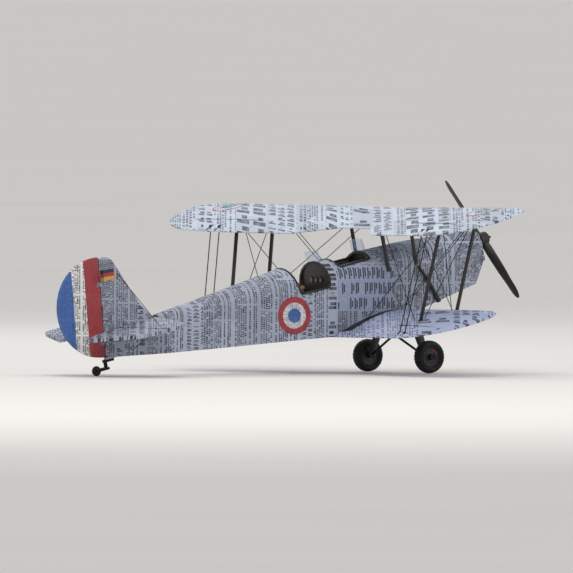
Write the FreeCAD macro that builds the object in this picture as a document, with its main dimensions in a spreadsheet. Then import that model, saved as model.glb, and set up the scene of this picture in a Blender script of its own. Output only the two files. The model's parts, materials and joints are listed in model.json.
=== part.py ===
"""A newspaper-covered model biplane at about one twentieth of full size.

The aeroplane is drawn in its own design axes, in millimetres: X points forward along the thrust
line, Y points to the left wing tip and Z points up, with Z = 0 on the thrust line.  Every piece is
built there.  The last step stands the finished aeroplane on its three tyres, nose up, with the
origin on the ground under the middle of the model.
"""
import FreeCAD
import Part
import Sketcher
import math
import os
from FreeCAD import Placement, Rotation, Vector
from types import SimpleNamespace

# name, value in millimetres, degrees or shares of the wing chord, meaning
SIZES = (
    ("nose_x", 78.0, "front end of the cowl"), ("nose_half", 8.0, "half width"),
    ("nose_belly", -13.0, "height"), ("nose_shoulder", -2.0, "height"), ("nose_top", 7.5, "height"),
    ("chin_x", 66.0, "where the chin is full"), ("chin_half", 12.0, "half width"),
    ("chin_belly", -26.0, "height"), ("chin_shoulder", -1.0, "height"), ("chin_top", 9.5, "height"),
    ("wall_x", 18.0, "firewall"), ("wall_half", 17.5, "half width"),
    ("wall_belly", -31.5, "height"), ("wall_shoulder", 1.0, "height"), ("wall_top", 13.4, "height"),
    ("heel_x", -48.0, "deepest belly"), ("heel_half", 18.3, "half width"),
    ("heel_belly", -35.4, "height"), ("heel_shoulder", 1.5, "height"), ("heel_top", 15.4, "height"),
    ("rest_x", -80.0, "headrest"), ("rest_half", 16.6, "half width"),
    ("rest_belly", -30.8, "height"), ("rest_shoulder", 2.0, "height"), ("rest_top", 17.3, "height"),
    ("waist_x", -130.0, "middle of the rear fuselage"), ("waist_half", 11.4, "half width"),
    ("waist_belly", -24.0, "height"), ("waist_shoulder", 4.0, "height"), ("waist_top", 13.2, "height"),
    ("seat_x", -181.0, "front of the tailplane"), ("seat_half", 5.8, "half width"),
    ("seat_belly", -16.8, "height"), ("seat_top", 9.8, "height"),
    ("stern_x", -217.0, "end of the side panels"), ("stern_half", 2.0, "half width"),
    ("stern_belly", -10.8, "height"), ("skin", 0.8, "wall of the fuselage panels"),
    ("bulkhead", 1.2, "thickness of plates across the fuselage"), ("former_depth", 3.0, "ring"),
    ("longeron", 1.8, "side of a square longeron"), ("longeron_drop", 2.6, "below the shoulder"),
    ("front_pit", -15.0, "front of the front opening"), ("front_pit_end", -40.0, "back of it"),
    ("front_sill", 10.3, "height"), ("rear_pit", -53.0, "front of the rear opening"),
    ("rear_pit_end", -75.0, "back of it"), ("rear_sill", -0.5, "height"),
    ("coaming", 1.0, "width of the roll round an opening"), ("coaming_out", 0.5, "stands proud"),
    ("floor_z", -21.0, "top of the cockpit floor"), ("seat_width", 14.0, "across"),
    ("seat_length", 11.0, "fore and aft"), ("seat_tall", 15.0, "back above the pan"),
    ("seat_pan", 6.0, "above the floor"), ("seat_wall", 1.2, "thickness"),
    ("seat_room", 2.5, "behind a seat"), ("panel_z", -7.0, "lower edge of an instrument panel"),
    ("screen_tall", 7.0, "windscreen"), ("screen_half", 4.0, "flat front of a windscreen"),
    ("screen_side", 4.5, "across a side pane"), ("screen_wall", 0.5, "thickness"),
    ("front_screen", -9.0, "foot of the front windscreen"),
    ("rear_screen", -45.5, "foot of the rear one"), ("screen_rake", 0.35, "lean of a windscreen"),
    ("pipe", 1.1, "radius of the exhaust pipe"), ("pipe_end", 1.6, "radius of its tail"),
    ("pipe_top_x", 19.5, "upper end"), ("pipe_top_z", -3.4, "upper end"), ("pipe_bend_x", 25.2, "bend"),
    ("pipe_bend_z", -15.0, "bend"), ("pipe_tail_x", 30.5, "outlet"), ("pipe_tail_z", -30.0, "outlet"),
    ("pipe_out", 0.6, "middle of the pipe outside the cowl"),
    ("chord", 59.6, "of both wings"), ("incidence", 4.0, "degrees"), ("sweep", 0.1725, "aft per span"),
    ("dihedral", 2.7, "degrees"), ("camber", 0.035, "share"), ("thickness", 0.095, "share"),
    ("upper_x", 34.6, "leading edge"), ("upper_z", 32.2, "leading edge"),
    ("upper_span", 197.0, "half span"), ("lower_x", 6.1, "leading edge"),
    ("lower_z", -30.9, "leading edge"), ("lower_span", 181.0, "half span"),
    ("root_y", 19.0, "half of the centre section"), ("notch", 0.75, "share left behind the cut-out"),
    ("notch_y", 49.0, "end of the cut-out"), ("tip_share", 0.3, "share at the outermost point"),
    ("rake", 66.0, "span of the curved trailing edge"), ("nose_round", 22.0, "span of the curved nose"),
    ("wing_skin", 0.6, "wall"), ("edge", 0.7, "thickness of the trailing edge"),
    ("front_spar", 0.123, "share"), ("rear_spar", 0.64, "share"), ("spar_width", 2.4, "fore and aft"),
    ("rib_wall", 1.0, "thickness"), ("rib_pitch", 18.0, "between ribs"),
    ("hinge_share", 0.735, "aileron hinge"), ("aileron_in", 94.0, "inner end"),
    ("aileron_out", 157.0, "outer end"),
    ("nose_radius", 1.2, "front edge of every control surface"), ("gap", 0.35, "round control surfaces"),
    ("bay_wall", 1.8, "wood round an aileron bay"), ("pin", 0.35, "radius of the hinge wires"),
    ("running", 0.06, "radial clearance"), ("link_y", 22.0, "first link from the aileron's inner end"),
    ("link_pitch", 8.3, "between links"), ("link_arm", 9.6, "hinge to link"), ("slot", 2.4, "link slot"),
    ("eye_wall", 0.55, "round a link's pin"), ("eye_thick", 1.2, "link eye"),
    ("open_fit", 0.12, "radial clearance of an upper eye"),
    ("strut_chord", 2.8, "strut section"), ("strut_wall", 1.5, "strut section"), ("wire", 0.25, "radius"),
    ("wire_pair", 1.3, "wires each side of the middle"),
    ("wire_out", 2.0, "from a root to the nearest wire"), ("upper_strut_y", 122.8, "interplane strut"),
    ("lower_strut_y", 114.1, "interplane strut"), ("strut_rear", 0.64, "share"),
    ("cabane_front", 18.2, "foot"), ("cabane_rear", -4.5, "foot"), ("cabane_foot", -1.5, "height"),
    ("cabane_y", 17.4, "top"), ("cabane_share", 0.2, "front top"), ("cabane_rear_share", 0.6, "rear top"),
    ("axle_x", 2.4, "main axle"), ("axle_z", -61.3, "main axle"), ("track", 73.8, "between tyre middles"),
    ("tyre", 11.0, "radius"), ("tyre_width", 8.4, "across"), ("rim", 6.4, "radius"),
    ("rim_width", 6.0, "across"),
    ("axle", 1.0, "radius"), ("side_play", 0.4, "beside a wheel"), ("flange", 2.0, "radius"),
    ("flange_wall", 1.6, "thickness"), ("cap", 2.2, "radius"), ("cap_wall", 1.2, "thickness"),
    ("leg_x", 9.0, "top of a leg"), ("leg_y", 14.5, "top of a leg"), ("leg_chord", 9.5, "at the top"),
    ("leg_foot", 5.0, "chord at the foot"), ("leg_wall", 2.4, "thickness"), ("apex_z", -46.5, "half axles"),
    ("stay", 0.8, "radius of the half axles"), ("stay_y", 8.0, "bracket at the belly"),
    ("tail_x", -234.5, "tail axle"), ("tail_z", -16.7, "tail axle"), ("tail_tyre", 3.4, "radius"),
    ("tail_width", 2.2, "across"), ("swivel_x", -226.5, "tail swivel"), ("swivel_top", -12.6, "boss"),
    ("swivel_end", -15.5, "boss"), ("swivel", 0.5, "radius of the swivel pin"), ("boss", 1.3, "radius"),
    ("fork_wall", 0.8, "arm"), ("fork_tall", 1.6, "arm"), ("tail_pin", 0.4, "radius of the tail axle"),
    ("tail_wall", 2.4, "thickness of the tail surfaces"), ("rudder_x", -222.9, "middle of the hinge"),
    ("rudder_z", 24.0, "middle of the hinge"), ("rudder", 33.3, "radius"), ("lean", 0.127, "hinge slope"),
    ("fin_x", -184.0, "foot of the fin"), ("fin_knee_x", -192.1, "bend"), ("fin_knee_z", 19.4, "bend"),
    ("fin_top_x", -209.0, "top corner"), ("fin_top_z", 56.0, "top"), ("fin_round", 8.0, "corner radius"),
    ("plane_z", 7.0, "tailplane"), ("plane_x", -181.4, "leading edge"), ("plane_half", 63.0, "half span"),
    ("plane_rake", 16.0, "sweep of its nose"), ("plane_round", 13.0, "corner radius"),
    ("elevator_x", -213.5, "hinge"), ("elevator_end", -249.0, "trailing edge"),
    ("elevator_in", 3.6, "root"),
    ("elevator_tip", 18.0, "how far its trailing edge rakes forward"),
    ("rudder_room", 15.0, "half width of the notch for the rudder"), ("elevator_round", 11.0, "corner"),
    ("tube", 0.8, "radius"), ("eye_width", 2.4, "hinge eye"), ("eye_y", 34.0, "hinge eyes of the tailplane"),
    ("rudder_eye", 15.0, "hinge eyes of the rudder, from its middle"), ("pin_reach", 4.0, "beyond an eye"),
    ("prop_x", 85.0, "middle of the blades"), ("prop", 50.5, "radius"), ("blade", 7.4, "widest chord"),
    ("blade_wall", 1.7, "thickness at the root"), ("prop_boss", 4.6, "radius"), ("prop_thick", 5.6, "boss"),
    ("prop_pitch", 55.0, "advance per turn"), ("prop_angle", 38.3, "degrees from upright"),
    ("hub_plate", 3.6, "radius"), ("hub_wall", 1.0, "thickness"), ("shaft", 1.0, "radius"),
    ("shaft_nose", 3.0, "spigot ahead of the hub plate"), ("shaft_tip", 0.75, "radius of the spigot"),
    ("bush", 2.0, "radius"), ("bush_length", 4.0, "sleeve"), ("bush_flange", 3.0, "radius"),
    ("collar", 2.2, "radius"), ("collar_wall", 2.0, "thickness"), ("shaft_play", 0.3, "end float"),
)
STATIONS = ("nose", "chin", "wall", "heel", "rest", "waist", "seat", "stern")
ARCH_STEPS = 10          # facets of a curved deck
FOIL_STEPS = 12          # points along each side of an aerofoil
TIP_ANGLES = (0, 18, 33, 46, 58, 68, 77, 84)
FORMERS = (-92.0, -111.0, -130.0, -151.0, -173.0)
REACH = 400.0            # longer than the model, for cutting shapes
SIDES = (("left", 1), ("right", -1))
ALONG_X = Vector(1, 0, 0)
ALONG_Y = Vector(0, 1, 0)


class Size:
    """A number together with the spreadsheet formula that gives it."""

    def __init__(self, value, formula):
        self.value = float(value)
        self.formula = formula

    def __float__(self):
        return self.value

    def __add__(self, other):
        return Size(self.value + float(other), f"({self.formula} + {formula_of(other)})")

    def __radd__(self, other):
        return self + other

    def __sub__(self, other):
        return Size(self.value - float(other), f"({self.formula} - {formula_of(other)})")

    def __rsub__(self, other):
        return Size(float(other) - self.value, f"({formula_of(other)} - {self.formula})")

    def __mul__(self, other):
        return Size(self.value * float(other), f"({self.formula} * {formula_of(other)})")

    def __rmul__(self, other):
        return self * other

    def __truediv__(self, other):
        return Size(self.value / float(other), f"({self.formula} / {formula_of(other)})")

    def __neg__(self):
        return self * -1


def formula_of(number):
    """The spreadsheet formula of a Size, or a plain number as text."""
    return number.formula if isinstance(number, Size) else f"({float(number):.9g})"


doc = FreeCAD.newDocument("biplane")
sheet = doc.addObject("Spreadsheet::Sheet", "Sizes")
for row, (alias, value, meaning) in enumerate(SIZES, 1):
    sheet.set(f"A{row}", alias)
    sheet.set(f"B{row}", str(value))
    sheet.setAlias(f"B{row}", alias)
    sheet.set(f"C{row}", meaning)
doc.recompute()
s = SimpleNamespace(**{alias: Size(value, f"Sizes.{alias}") for alias, value, meaning in SIZES})
v = SimpleNamespace(**{alias: value for alias, value, meaning in SIZES})

nodes = {}


def keep(name, piece, place=None):
    """Register a finished sub-part and its place in the design axes."""
    piece.Label = name
    nodes[name] = (piece, place or Placement())
    return piece


def keep_shape(name, shape):
    """Register a sub-part that was made with shape functions."""
    piece = doc.addObject("Part::Feature", name)
    piece.Shape = shape
    return keep(name, piece)


# ---------------------------------------------------------------- sketches and bodies

def sketch(body, plane, points, holes=(), offset=None):
    """A closed outline on an origin plane of a body, with every corner bound to the sheet."""
    outline = body.newObject("Sketcher::SketchObject", "Outline")
    support = [f for f in body.Origin.OriginFeatures if f.Role == plane][0]
    outline.AttachmentSupport = (support, "")
    outline.MapMode = "FlatFace"
    if offset is not None:
        outline.AttachmentOffset = Placement(Vector(0, 0, float(offset)), Rotation())
        outline.setExpression("AttachmentOffset.Base.z", formula_of(offset))
    corners = [Vector(float(a), float(b), 0) for a, b in points]
    count = len(corners)
    for start, end in zip(corners, corners[1:] + corners[:1]):
        outline.addGeometry(Part.LineSegment(start, end))
    outline.addConstraint([Sketcher.Constraint("Coincident", i, 2, (i + 1) % count, 1)
                           for i in range(count)])
    for i, point in enumerate(points):
        bind_point(outline, i, 1, point)
    for a, b, radius in holes:
        edge = outline.addGeometry(Part.Circle(Vector(float(a), float(b), 0), Vector(0, 0, 1), float(radius)))
        bind_point(outline, edge, 3, (a, b))
        index = outline.addConstraint(Sketcher.Constraint("Radius", edge, float(radius)))
        outline.setExpression(f"Constraints[{index}]", formula_of(radius))
    return outline


def bind_point(outline, edge, end, point):
    """Hold a point of a sketch at two bound distances from the sketch's axes."""
    for kind, axis, size in (("DistanceX", -2, point[0]), ("DistanceY", -1, point[1])):
        if float(size) == 0:
            outline.addConstraint(Sketcher.Constraint("PointOnObject", edge, end, axis))
        else:
            index = outline.addConstraint(Sketcher.Constraint(kind, -1, 1, edge, end, float(size)))
            outline.setExpression(f"Constraints[{index}]", formula_of(size))


def pad(name, plane, points, length, holes=(), offset=None, middle=True):
    """A body that is one outline pushed out, evenly to both sides or along the plane's normal."""
    body = doc.addObject("PartDesign::Body", name)
    outline = sketch(body, plane, points, holes, offset)
    solid = body.newObject("PartDesign::Pad", "Pad")
    solid.Profile = outline
    solid.Length = float(length)
    solid.setExpression("Length", formula_of(length))
    solid.Midplane = middle
    doc.recompute()
    return body


def round_edges(body, radius, wanted):
    """Round those edges of a body whose middle and direction pass a test."""
    base = body.Tip
    picked = []
    for number, edge in enumerate(base.Shape.Edges, 1):
        middle = edge.valueAt((edge.FirstParameter + edge.LastParameter) / 2)
        if wanted(middle, edge.tangentAt(edge.FirstParameter)):
            picked.append(f"Edge{number}")
    fillet = body.newObject("PartDesign::Fillet", "Fillet")
    fillet.Base = (base, picked)
    fillet.Radius = float(radius)
    fillet.setExpression("Radius", formula_of(radius))
    doc.recompute()
    return body


def turn(name, points):
    """A body turned about the Y axis from an outline of (radius, Y) points."""
    body = doc.addObject("PartDesign::Body", name)
    outline = sketch(body, "XY_Plane", points)
    solid = body.newObject("PartDesign::Revolution", "Revolution")
    solid.Profile = outline
    solid.ReferenceAxis = (outline, ["V_Axis"])
    solid.Angle = 360
    doc.recompute()
    return body


def loft(name, sections):
    """A body lofted with straight lines through outlines across the X axis."""
    body = doc.addObject("PartDesign::Body", name)
    outlines = [sketch(body, "YZ_Plane", points, offset=x) for x, points in sections]
    solid = body.newObject("PartDesign::AdditiveLoft", "Loft")
    solid.Profile = outlines[0]
    solid.Sections = [(outline, [""]) for outline in outlines[1:]]
    solid.Ruled = True
    doc.recompute()
    return body


def cylinder(name, radius, height, place=None):
    """A bound cylinder, along Z unless it is placed otherwise."""
    solid = doc.addObject("Part::Cylinder", name)
    solid.Radius = float(radius)
    solid.Height = float(height)
    solid.setExpression("Radius", formula_of(radius))
    solid.setExpression("Height", formula_of(height))
    solid.Placement = place or Placement()
    return solid


def box(name, size, place=None):
    """A bound box from its corner, centred across Y."""
    solid = doc.addObject("Part::Box", name)
    for prop, value in zip(("Length", "Width", "Height"), size):
        setattr(solid, prop, float(value))
        solid.setExpression(prop, formula_of(value))
    start = place or Placement()
    solid.Placement = start.multiply(Placement(Vector(0, -float(size[1]) / 2, 0), Rotation()))
    return solid


def fuse(name, pieces):
    """One solid from several."""
    joined = doc.addObject("Part::MultiFuse", name)
    joined.Shapes = pieces
    joined.Refine = True
    doc.recompute()
    return joined


def cut(name, base, tools):
    """A solid with the tools taken out of it."""
    removed = tools[0] if len(tools) == 1 else fuse(name + "_tools", tools)
    remains = doc.addObject("Part::Cut", name)
    remains.Base = base
    remains.Tool = removed
    doc.recompute()
    return remains


def along_x(x, y=0.0, z=0.0):
    """A place whose Z axis points forward."""
    return Placement(Vector(float(x), float(y), float(z)), Rotation(Vector(0, 1, 0), 90))


def along_y(x, y=0.0, z=0.0):
    """A place whose Z axis points to the left."""
    return Placement(Vector(float(x), float(y), float(z)), Rotation(Vector(1, 0, 0), -90))


def rod(start, end, radius):
    """A round bar between two points."""
    return Part.makeCylinder(radius, (end - start).Length, start, end - start)


def flat_bar(start, end, first, last, wall):
    """A bar of oval section between two points, its long side fore and aft."""
    line = (end - start).normalize()
    across = line.cross(Vector(1, 0, 0)).normalize()
    fore = across.cross(line)
    rings = []
    for point, chord in ((start, first), (end, last)):
        oval = Part.Ellipse(Vector(), chord / 2, wall / 2).toShape()
        turned = Placement(point, Rotation(fore, across, fore.cross(across), "XYZ"))
        rings.append(Part.Wire([oval.transformGeometry(turned.toMatrix())]))
    return Part.makeLoft(rings, True, True)


def biggest(shape):
    """The largest solid of a shape, when a cut leaves offcuts."""
    return max(shape.Solids, key=lambda solid: solid.Volume)


def mirrored(shape):
    """The same shape on the right-hand side."""
    return shape.mirror(Vector(), ALONG_Y)


def both(name, shape):
    """Keep a left-hand shape and its mirror image as two sub-parts."""
    keep_shape(f"{name}_left", shape)
    keep_shape(f"{name}_right", mirrored(shape))


# ---------------------------------------------------------------- fuselage

def station(name):
    """Place, half width, belly, shoulder and top of a fuselage station, bound to the sheet."""
    shoulder = s.plane_z - s.tail_wall / 2
    if name not in ("seat", "stern"):
        shoulder = getattr(s, f"{name}_shoulder")
    top = getattr(s, f"{name}_top") if name != "stern" else shoulder + s.skin
    half = getattr(s, f"{name}_half")
    return getattr(s, f"{name}_x"), half, getattr(s, f"{name}_belly"), shoulder, top


def arch(half, shoulder, top, offset):
    """Points of a curved deck from left to right, moved out by an offset."""
    angles = [math.pi * i / ARCH_STEPS for i in range(ARCH_STEPS + 1)]
    across = [(half + offset) * math.cos(a) for a in angles]
    up = [shoulder + (top - shoulder + offset) * math.sin(a) for a in angles]
    up[0] = up[-1] = shoulder
    across[ARCH_STEPS // 2] = 0.0
    return list(zip(across, up))


def deck_section(name):
    """Section of a curved deck panel at a station."""
    x, half, belly, shoulder, top = station(name)
    return x, arch(half, shoulder, top, 0.0) + arch(half, shoulder, top, -s.skin)[::-1]


def side_section(name, side):
    """Section of a side panel at a station."""
    x, half, belly, shoulder, top = station(name)
    outer, inner = half * side, (half - s.skin) * side
    return x, [(outer, belly), (outer, shoulder), (inner, shoulder), (inner, belly)]


def belly_section(name):
    """Section of the belly panel between the side panels at a station."""
    x, half, belly, shoulder, top = station(name)
    inner = half - s.skin
    return x, [(-inner, belly), (inner, belly), (inner, belly + s.skin), (-inner, belly + s.skin)]


def tray_section(name):
    """Section of the lower cowl, a tray with two sides and a belly."""
    x, half, belly, shoulder, top = station(name)
    inner = half - s.skin
    floor = belly + s.skin
    return x, [(-half, belly), (half, belly), (half, shoulder), (inner, shoulder),
               (inner, floor), (-inner, floor), (-inner, shoulder), (-half, shoulder)]


def hull(offset, names=STATIONS):
    """The solid inside the outline of the fuselage, moved out by an offset, for fits and cuts."""
    wires = []
    for name in names:
        x, half, belly, shoulder, top = [float(size) for size in station(name)]
        points = arch(half, shoulder, top, offset)
        points += [(-half - offset, belly - offset), (half + offset, belly - offset)]
        corners = [Vector(x, float(y), float(z)) for y, z in points]
        wires.append(Part.makePolygon(corners + corners[:1]))
    return Part.makeLoft(wires, True, True)


def pit_profile(front, back, sill):
    """Side view of a cockpit opening, wide at the top."""
    top = s.rest_top + 6.0
    lean = (top - sill) * 0.12
    return [(front, sill), (front + lean, top), (back - lean, top), (back, sill)]


def pit(name, front, back, sill, grow):
    """A cutting shape for a cockpit opening, grown by a margin."""
    points = pit_profile(front + grow, back - grow, sill - grow)
    body = pad(name, "XZ_Plane", points, s.heel_half * 2 + 10.0)
    return round_edges(body, s.longeron + grow, lambda p, d: abs(d.y) > 0.9 and p.z < float(sill) + 1)


def slab(start, end):
    """Everything between two places along the fuselage."""
    return Part.makeBox(end - start, REACH, REACH, Vector(start, -REACH / 2, -REACH / 2))


def make_fuselage():
    """Cowl, panels, decks, bulkheads and longerons."""
    keep("cowl_lower", loft("cowl_lower", [tray_section(n) for n in ("nose", "chin", "wall")]))
    keep("cowl_upper", loft("cowl_upper", [deck_section(n) for n in ("nose", "chin", "wall")]))
    x, half, belly, shoulder, top = station("nose")
    outline = arch(half, shoulder, top, 0.0) + [(-half, belly), (half, belly)]
    keep("nose_plate", pad("nose_plate", "YZ_Plane", outline, s.bulkhead, [(0, 0, s.bush)], x, False))
    x, half, belly, shoulder, top = station("wall")
    outline = arch(half, shoulder, top, 0.0) + [(-half, belly), (half, belly)]
    wall = pad("firewall", "YZ_Plane", outline, s.bulkhead, [(0, 0, s.bush)], x - s.bulkhead, False)
    keep("firewall", wall)
    rear = ("wall", "heel", "rest", "waist", "seat", "stern")
    tools = [pit("front_pit", s.front_pit, s.front_pit_end, s.front_sill, s.coaming),
             pit("rear_pit", s.rear_pit, s.rear_pit_end, s.rear_sill, s.coaming)]
    plate = box("firewall_room", (s.bulkhead, s.wall_half * 3, s.wall_half * 4),
                Placement(Vector(v.wall_x - v.bulkhead, 0, v.wall_belly - 2), Rotation()))
    for side, sign in SIDES:
        panel = loft(f"side_{side}", [side_section(n, sign) for n in rear])
        keep(f"side_panel_{side}", cut(f"side_panel_{side}", panel, [tools[1], plate]))
    belly_panel = loft("belly", [belly_section(n) for n in rear])
    keep("belly_panel", cut("belly_panel", belly_panel, [plate]))
    deck = loft("front_deck", [deck_section(n) for n in ("wall", "heel", "rest")])
    behind = box("behind_pit", (s.rest_half * 2, s.rest_half * 3, s.rest_half * 3),
                 Placement(Vector(v.rear_pit_end - v.rest_half, 0, 0), Rotation()))
    keep("front_decking", cut("front_decking", deck, tools + [behind, plate]))
    deck = loft("rear_deck", [deck_section(n) for n in ("heel", "rest", "waist", "seat")])
    ahead = box("before_pit", (s.rest_half * 2, s.rest_half * 3, s.rest_half * 3),
                Placement(Vector(v.rear_pit_end + v.coaming, 0, 0), Rotation()))
    keep("turtle_deck", cut("turtle_deck", deck, [tools[1], ahead]))
    make_inside(tools)


def make_inside(tools):
    """Longerons, formers, floor, instrument panels and coamings, all fitted to the hull."""
    inner = hull(-v.skin)
    strips = []
    for sign in (1, -1):
        for low in (True, False):
            wires = []
            for name in ("wall", "heel", "rest", "waist", "seat"):
                x, half, belly, shoulder, top = [float(size) for size in station(name)]
                foot = belly + v.skin if low else shoulder - v.longeron_drop - v.longeron
                back = half - v.skin
                square = [(back, foot), (back - v.longeron, foot), (back - v.longeron, foot + v.longeron),
                          (back, foot + v.longeron)]
                corners = [Vector(x, sign * y, z) for y, z in square]
                wires.append(Part.makePolygon(corners + corners[:1]))
            strips.append(Part.makeLoft(wires, True, True).cut(slab(v.wall_x - v.bulkhead, v.wall_x)))
    longerons = Part.Compound(strips)
    keep_shape("longerons", longerons)
    ring = inner.cut(hull(-v.skin - v.former_depth))
    rings = [ring.common(slab(x - v.bulkhead / 2, x + v.bulkhead / 2)).cut(longerons) for x in FORMERS]
    keep_shape("formers", Part.Compound([solid for one in rings for solid in one.Solids]))
    board = Part.makeBox(REACH, REACH, v.bulkhead, Vector(-REACH / 2, -REACH / 2, v.floor_z - v.bulkhead))
    board = board.common(inner).common(slab(v.rest_x - 6, -4))
    keep_shape("cockpit_floor", biggest(board.cut(longerons)))
    skin = hull(v.coaming_out).cut(hull(-v.skin - v.coaming_out))
    rolls = []
    for name, front, back, sill, tool in (("front", s.front_pit, s.front_pit_end, s.front_sill, tools[0]),
                                          ("rear", s.rear_pit, s.rear_pit_end, s.rear_sill, tools[1])):
        hole = pit(f"{name}_hole", front, back, sill, s.coaming * 0)
        roll = skin.common(tool.Shape.cut(hole.Shape))
        rolls += [solid for solid in roll.Solids if solid.Volume > 1]
    rolls = Part.Compound(rolls).cut(longerons)
    keep_shape("coamings", rolls)
    above = Part.makeBox(REACH, REACH, REACH, Vector(-REACH / 2, -REACH / 2, v.panel_z))
    boards = []
    for edge in (v.front_pit, v.rear_pit):
        front = edge + v.coaming + 1.0
        plate = inner.common(slab(front, front + v.bulkhead)).common(above)
        boards.append(biggest(plate.cut([longerons, rolls])))
    keep_shape("instrument_panels", Part.Compound(boards))


def make_cockpits():
    """Seats and windscreens."""
    for name, pit_end in (("front_seat", s.front_pit_end), ("rear_seat", s.rear_pit_end)):
        back = pit_end + s.seat_room
        pan = s.floor_z + s.seat_pan
        front = back + s.seat_length
        top = pan + s.seat_tall
        profile = [(back, s.floor_z), (front, s.floor_z), (front, pan), (back + s.seat_wall, pan),
                   (back + s.seat_wall - 1.0, top), (back - 1.0, top)]
        body = pad(name, "XZ_Plane", profile, s.seat_width)
        level = float(top) - 0.1
        keep(name, round_edges(body, s.seat_wall * 2,
                               lambda p, d, level=level: abs(d.x) > 0.9 and p.z > level))
    outside = hull(0.0)
    coamings = nodes["coamings"][0].Shape
    screens = []
    for foot in (v.front_screen, v.rear_screen):
        side = Vector(-v.screen_side * 0.8, v.screen_side * 0.6, 0)
        outer = [Vector(0, v.screen_half, 0) + side, Vector(0, v.screen_half, 0)]
        outer += [Vector(p.x, -p.y, 0) for p in reversed(outer)]
        inner = [p - Vector(v.screen_wall, 0, 0) for p in reversed(outer)]
        corners = [p + Vector(foot, 0, v.heel_shoulder) for p in outer + inner]
        face = Part.Face(Part.makePolygon(corners + corners[:1]))
        tall = v.heel_top - v.heel_shoulder + v.screen_tall
        pane = face.extrude(Vector(-v.screen_rake * v.screen_tall, 0, tall))
        screens.append(biggest(pane.cut([outside, coamings])))
    keep_shape("windscreens", Part.Compound(screens))


def make_exhaust():
    """The exhaust pipe, down the right side of the cowl and out under the wing."""
    side = -v.wall_half - v.pipe_out
    top = Vector(v.pipe_top_x, side, v.pipe_top_z)
    bend = Vector(v.pipe_bend_x, side - 0.3, v.pipe_bend_z)
    tail = Vector(v.pipe_tail_x, side + 0.2, v.pipe_tail_z)
    upper = Part.makeCone(v.pipe * 0.7, v.pipe, (bend - top).Length, top, bend - top)
    lower = Part.makeCone(v.pipe, v.pipe_end, (tail - bend).Length, bend, tail - bend)
    elbow = Part.makeSphere(v.pipe, bend)
    keep_shape("exhaust_pipe", biggest(upper.fuse([lower, elbow]).cut(hull(0.0))))


# ---------------------------------------------------------------- wings

def wing_point(wing, y, share, up=0.0):
    """A point of a wing: along the chord plane by a share of the chord, and up from it."""
    origin_x, origin_z = (v.upper_x, v.upper_z) if wing == "upper" else (v.lower_x, v.lower_z)
    out = max(abs(y), v.root_y)
    nose_up = math.radians(v.incidence)
    along = Vector(-math.cos(nose_up), 0, -math.sin(nose_up))
    normal = Vector(-math.sin(nose_up), 0, math.cos(nose_up))
    edge = Vector(origin_x - v.sweep * out, y, origin_z + math.tan(math.radians(v.dihedral)) * out)
    return edge + along * (share * v.chord) + normal * up


def edges_at(wing, y):
    """The shares of the full chord at which a wing's section starts and ends."""
    span = v.upper_span if wing == "upper" else v.lower_span
    nose = max(0.0, (y - span + v.nose_round) / v.nose_round)
    tail = max(0.0, (y - span + v.rake) / v.rake)
    front = v.tip_share * (1 - math.sqrt(1 - nose ** 2))
    back = v.tip_share + (1 - v.tip_share) * math.sqrt(1 - tail ** 2)
    if wing == "upper" and y < v.notch_y:
        back = v.notch + (1 - v.notch) * max(0.0, y - v.root_y) / (v.notch_y - v.root_y)
    return front, back


def half_thickness(share, chord):
    """Half the thickness of the aerofoil, at a share of its own chord."""
    curve = 0.2969 * math.sqrt(share) - 0.126 * share - 0.3516 * share ** 2
    curve += 0.2843 * share ** 3 - 0.1036 * share ** 4
    return 5 * v.thickness * curve * chord + v.edge / 2 * share


def foil(wing, y, inset=0.0):
    """The outline of a wing's section at a place along the span, or of the hollow inside it."""
    front, back = edges_at(wing, abs(y))
    chord = (back - front) * v.chord
    first, last = (0.0, 1.0) if inset == 0 else (2 * inset / chord, 1 - 4.5 / chord)
    top, bottom = [], []
    for i in range(FOIL_STEPS + 1):
        share = first + (last - first) * (1 - math.cos(math.pi * i / FOIL_STEPS)) / 2
        half = half_thickness(share, chord)
        half = half if inset == 0 else max(half - inset, 0.12)
        middle = 4 * v.camber * share * (1 - share) * chord
        place = front + share * (back - front)
        top.append(wing_point(wing, y, place, middle + half))
        bottom.append(wing_point(wing, y, place, middle - half))
    around = top[::-1] + (bottom[1:] if inset == 0 else bottom)
    curve = Part.BSplineCurve()
    curve.interpolate(around)
    return Part.Wire([curve.toShape(), Part.makeLine(around[-1], around[0])])


def wing_solid(wing, inset=0.0):
    """The left wing as one solid, or its hollow, from the root to the tip."""
    span = v.upper_span if wing == "upper" else v.lower_span
    start = v.root_y if wing == "upper" else v.heel_half - 3
    tips = [span - v.rake + v.rake * math.sin(math.radians(a)) for a in TIP_ANGLES]
    places = [start] + ([v.notch_y] if wing == "upper" else []) + tips
    if inset:
        places = [y for y in places if edges_at(wing, y)[1] - edges_at(wing, y)[0] > 0.5]
    return Part.makeLoft([foil(wing, y, inset) for y in places], True, True)


def hinge_frame(wing):
    """The left aileron's hinge: Y along it, outwards, X forward, from its inner end."""
    height = 4 * v.camber * v.hinge_share * (1 - v.hinge_share) * v.chord
    start = wing_point(wing, v.aileron_in, v.hinge_share, height)
    end = wing_point(wing, v.aileron_out, v.hinge_share, height)
    along = (end - start).normalize()
    up = Vector(-math.sin(math.radians(v.incidence)), 0, math.cos(math.radians(v.incidence)))
    fore = along.cross(up).normalize()
    return Placement(start, Rotation(fore, along, fore.cross(along), "XYZ")), (end - start).Length


def placed(frame, shape):
    """A copy of a shape at a place."""
    copy = shape.copy()
    copy.Placement = frame.multiply(copy.Placement)
    return copy


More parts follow.
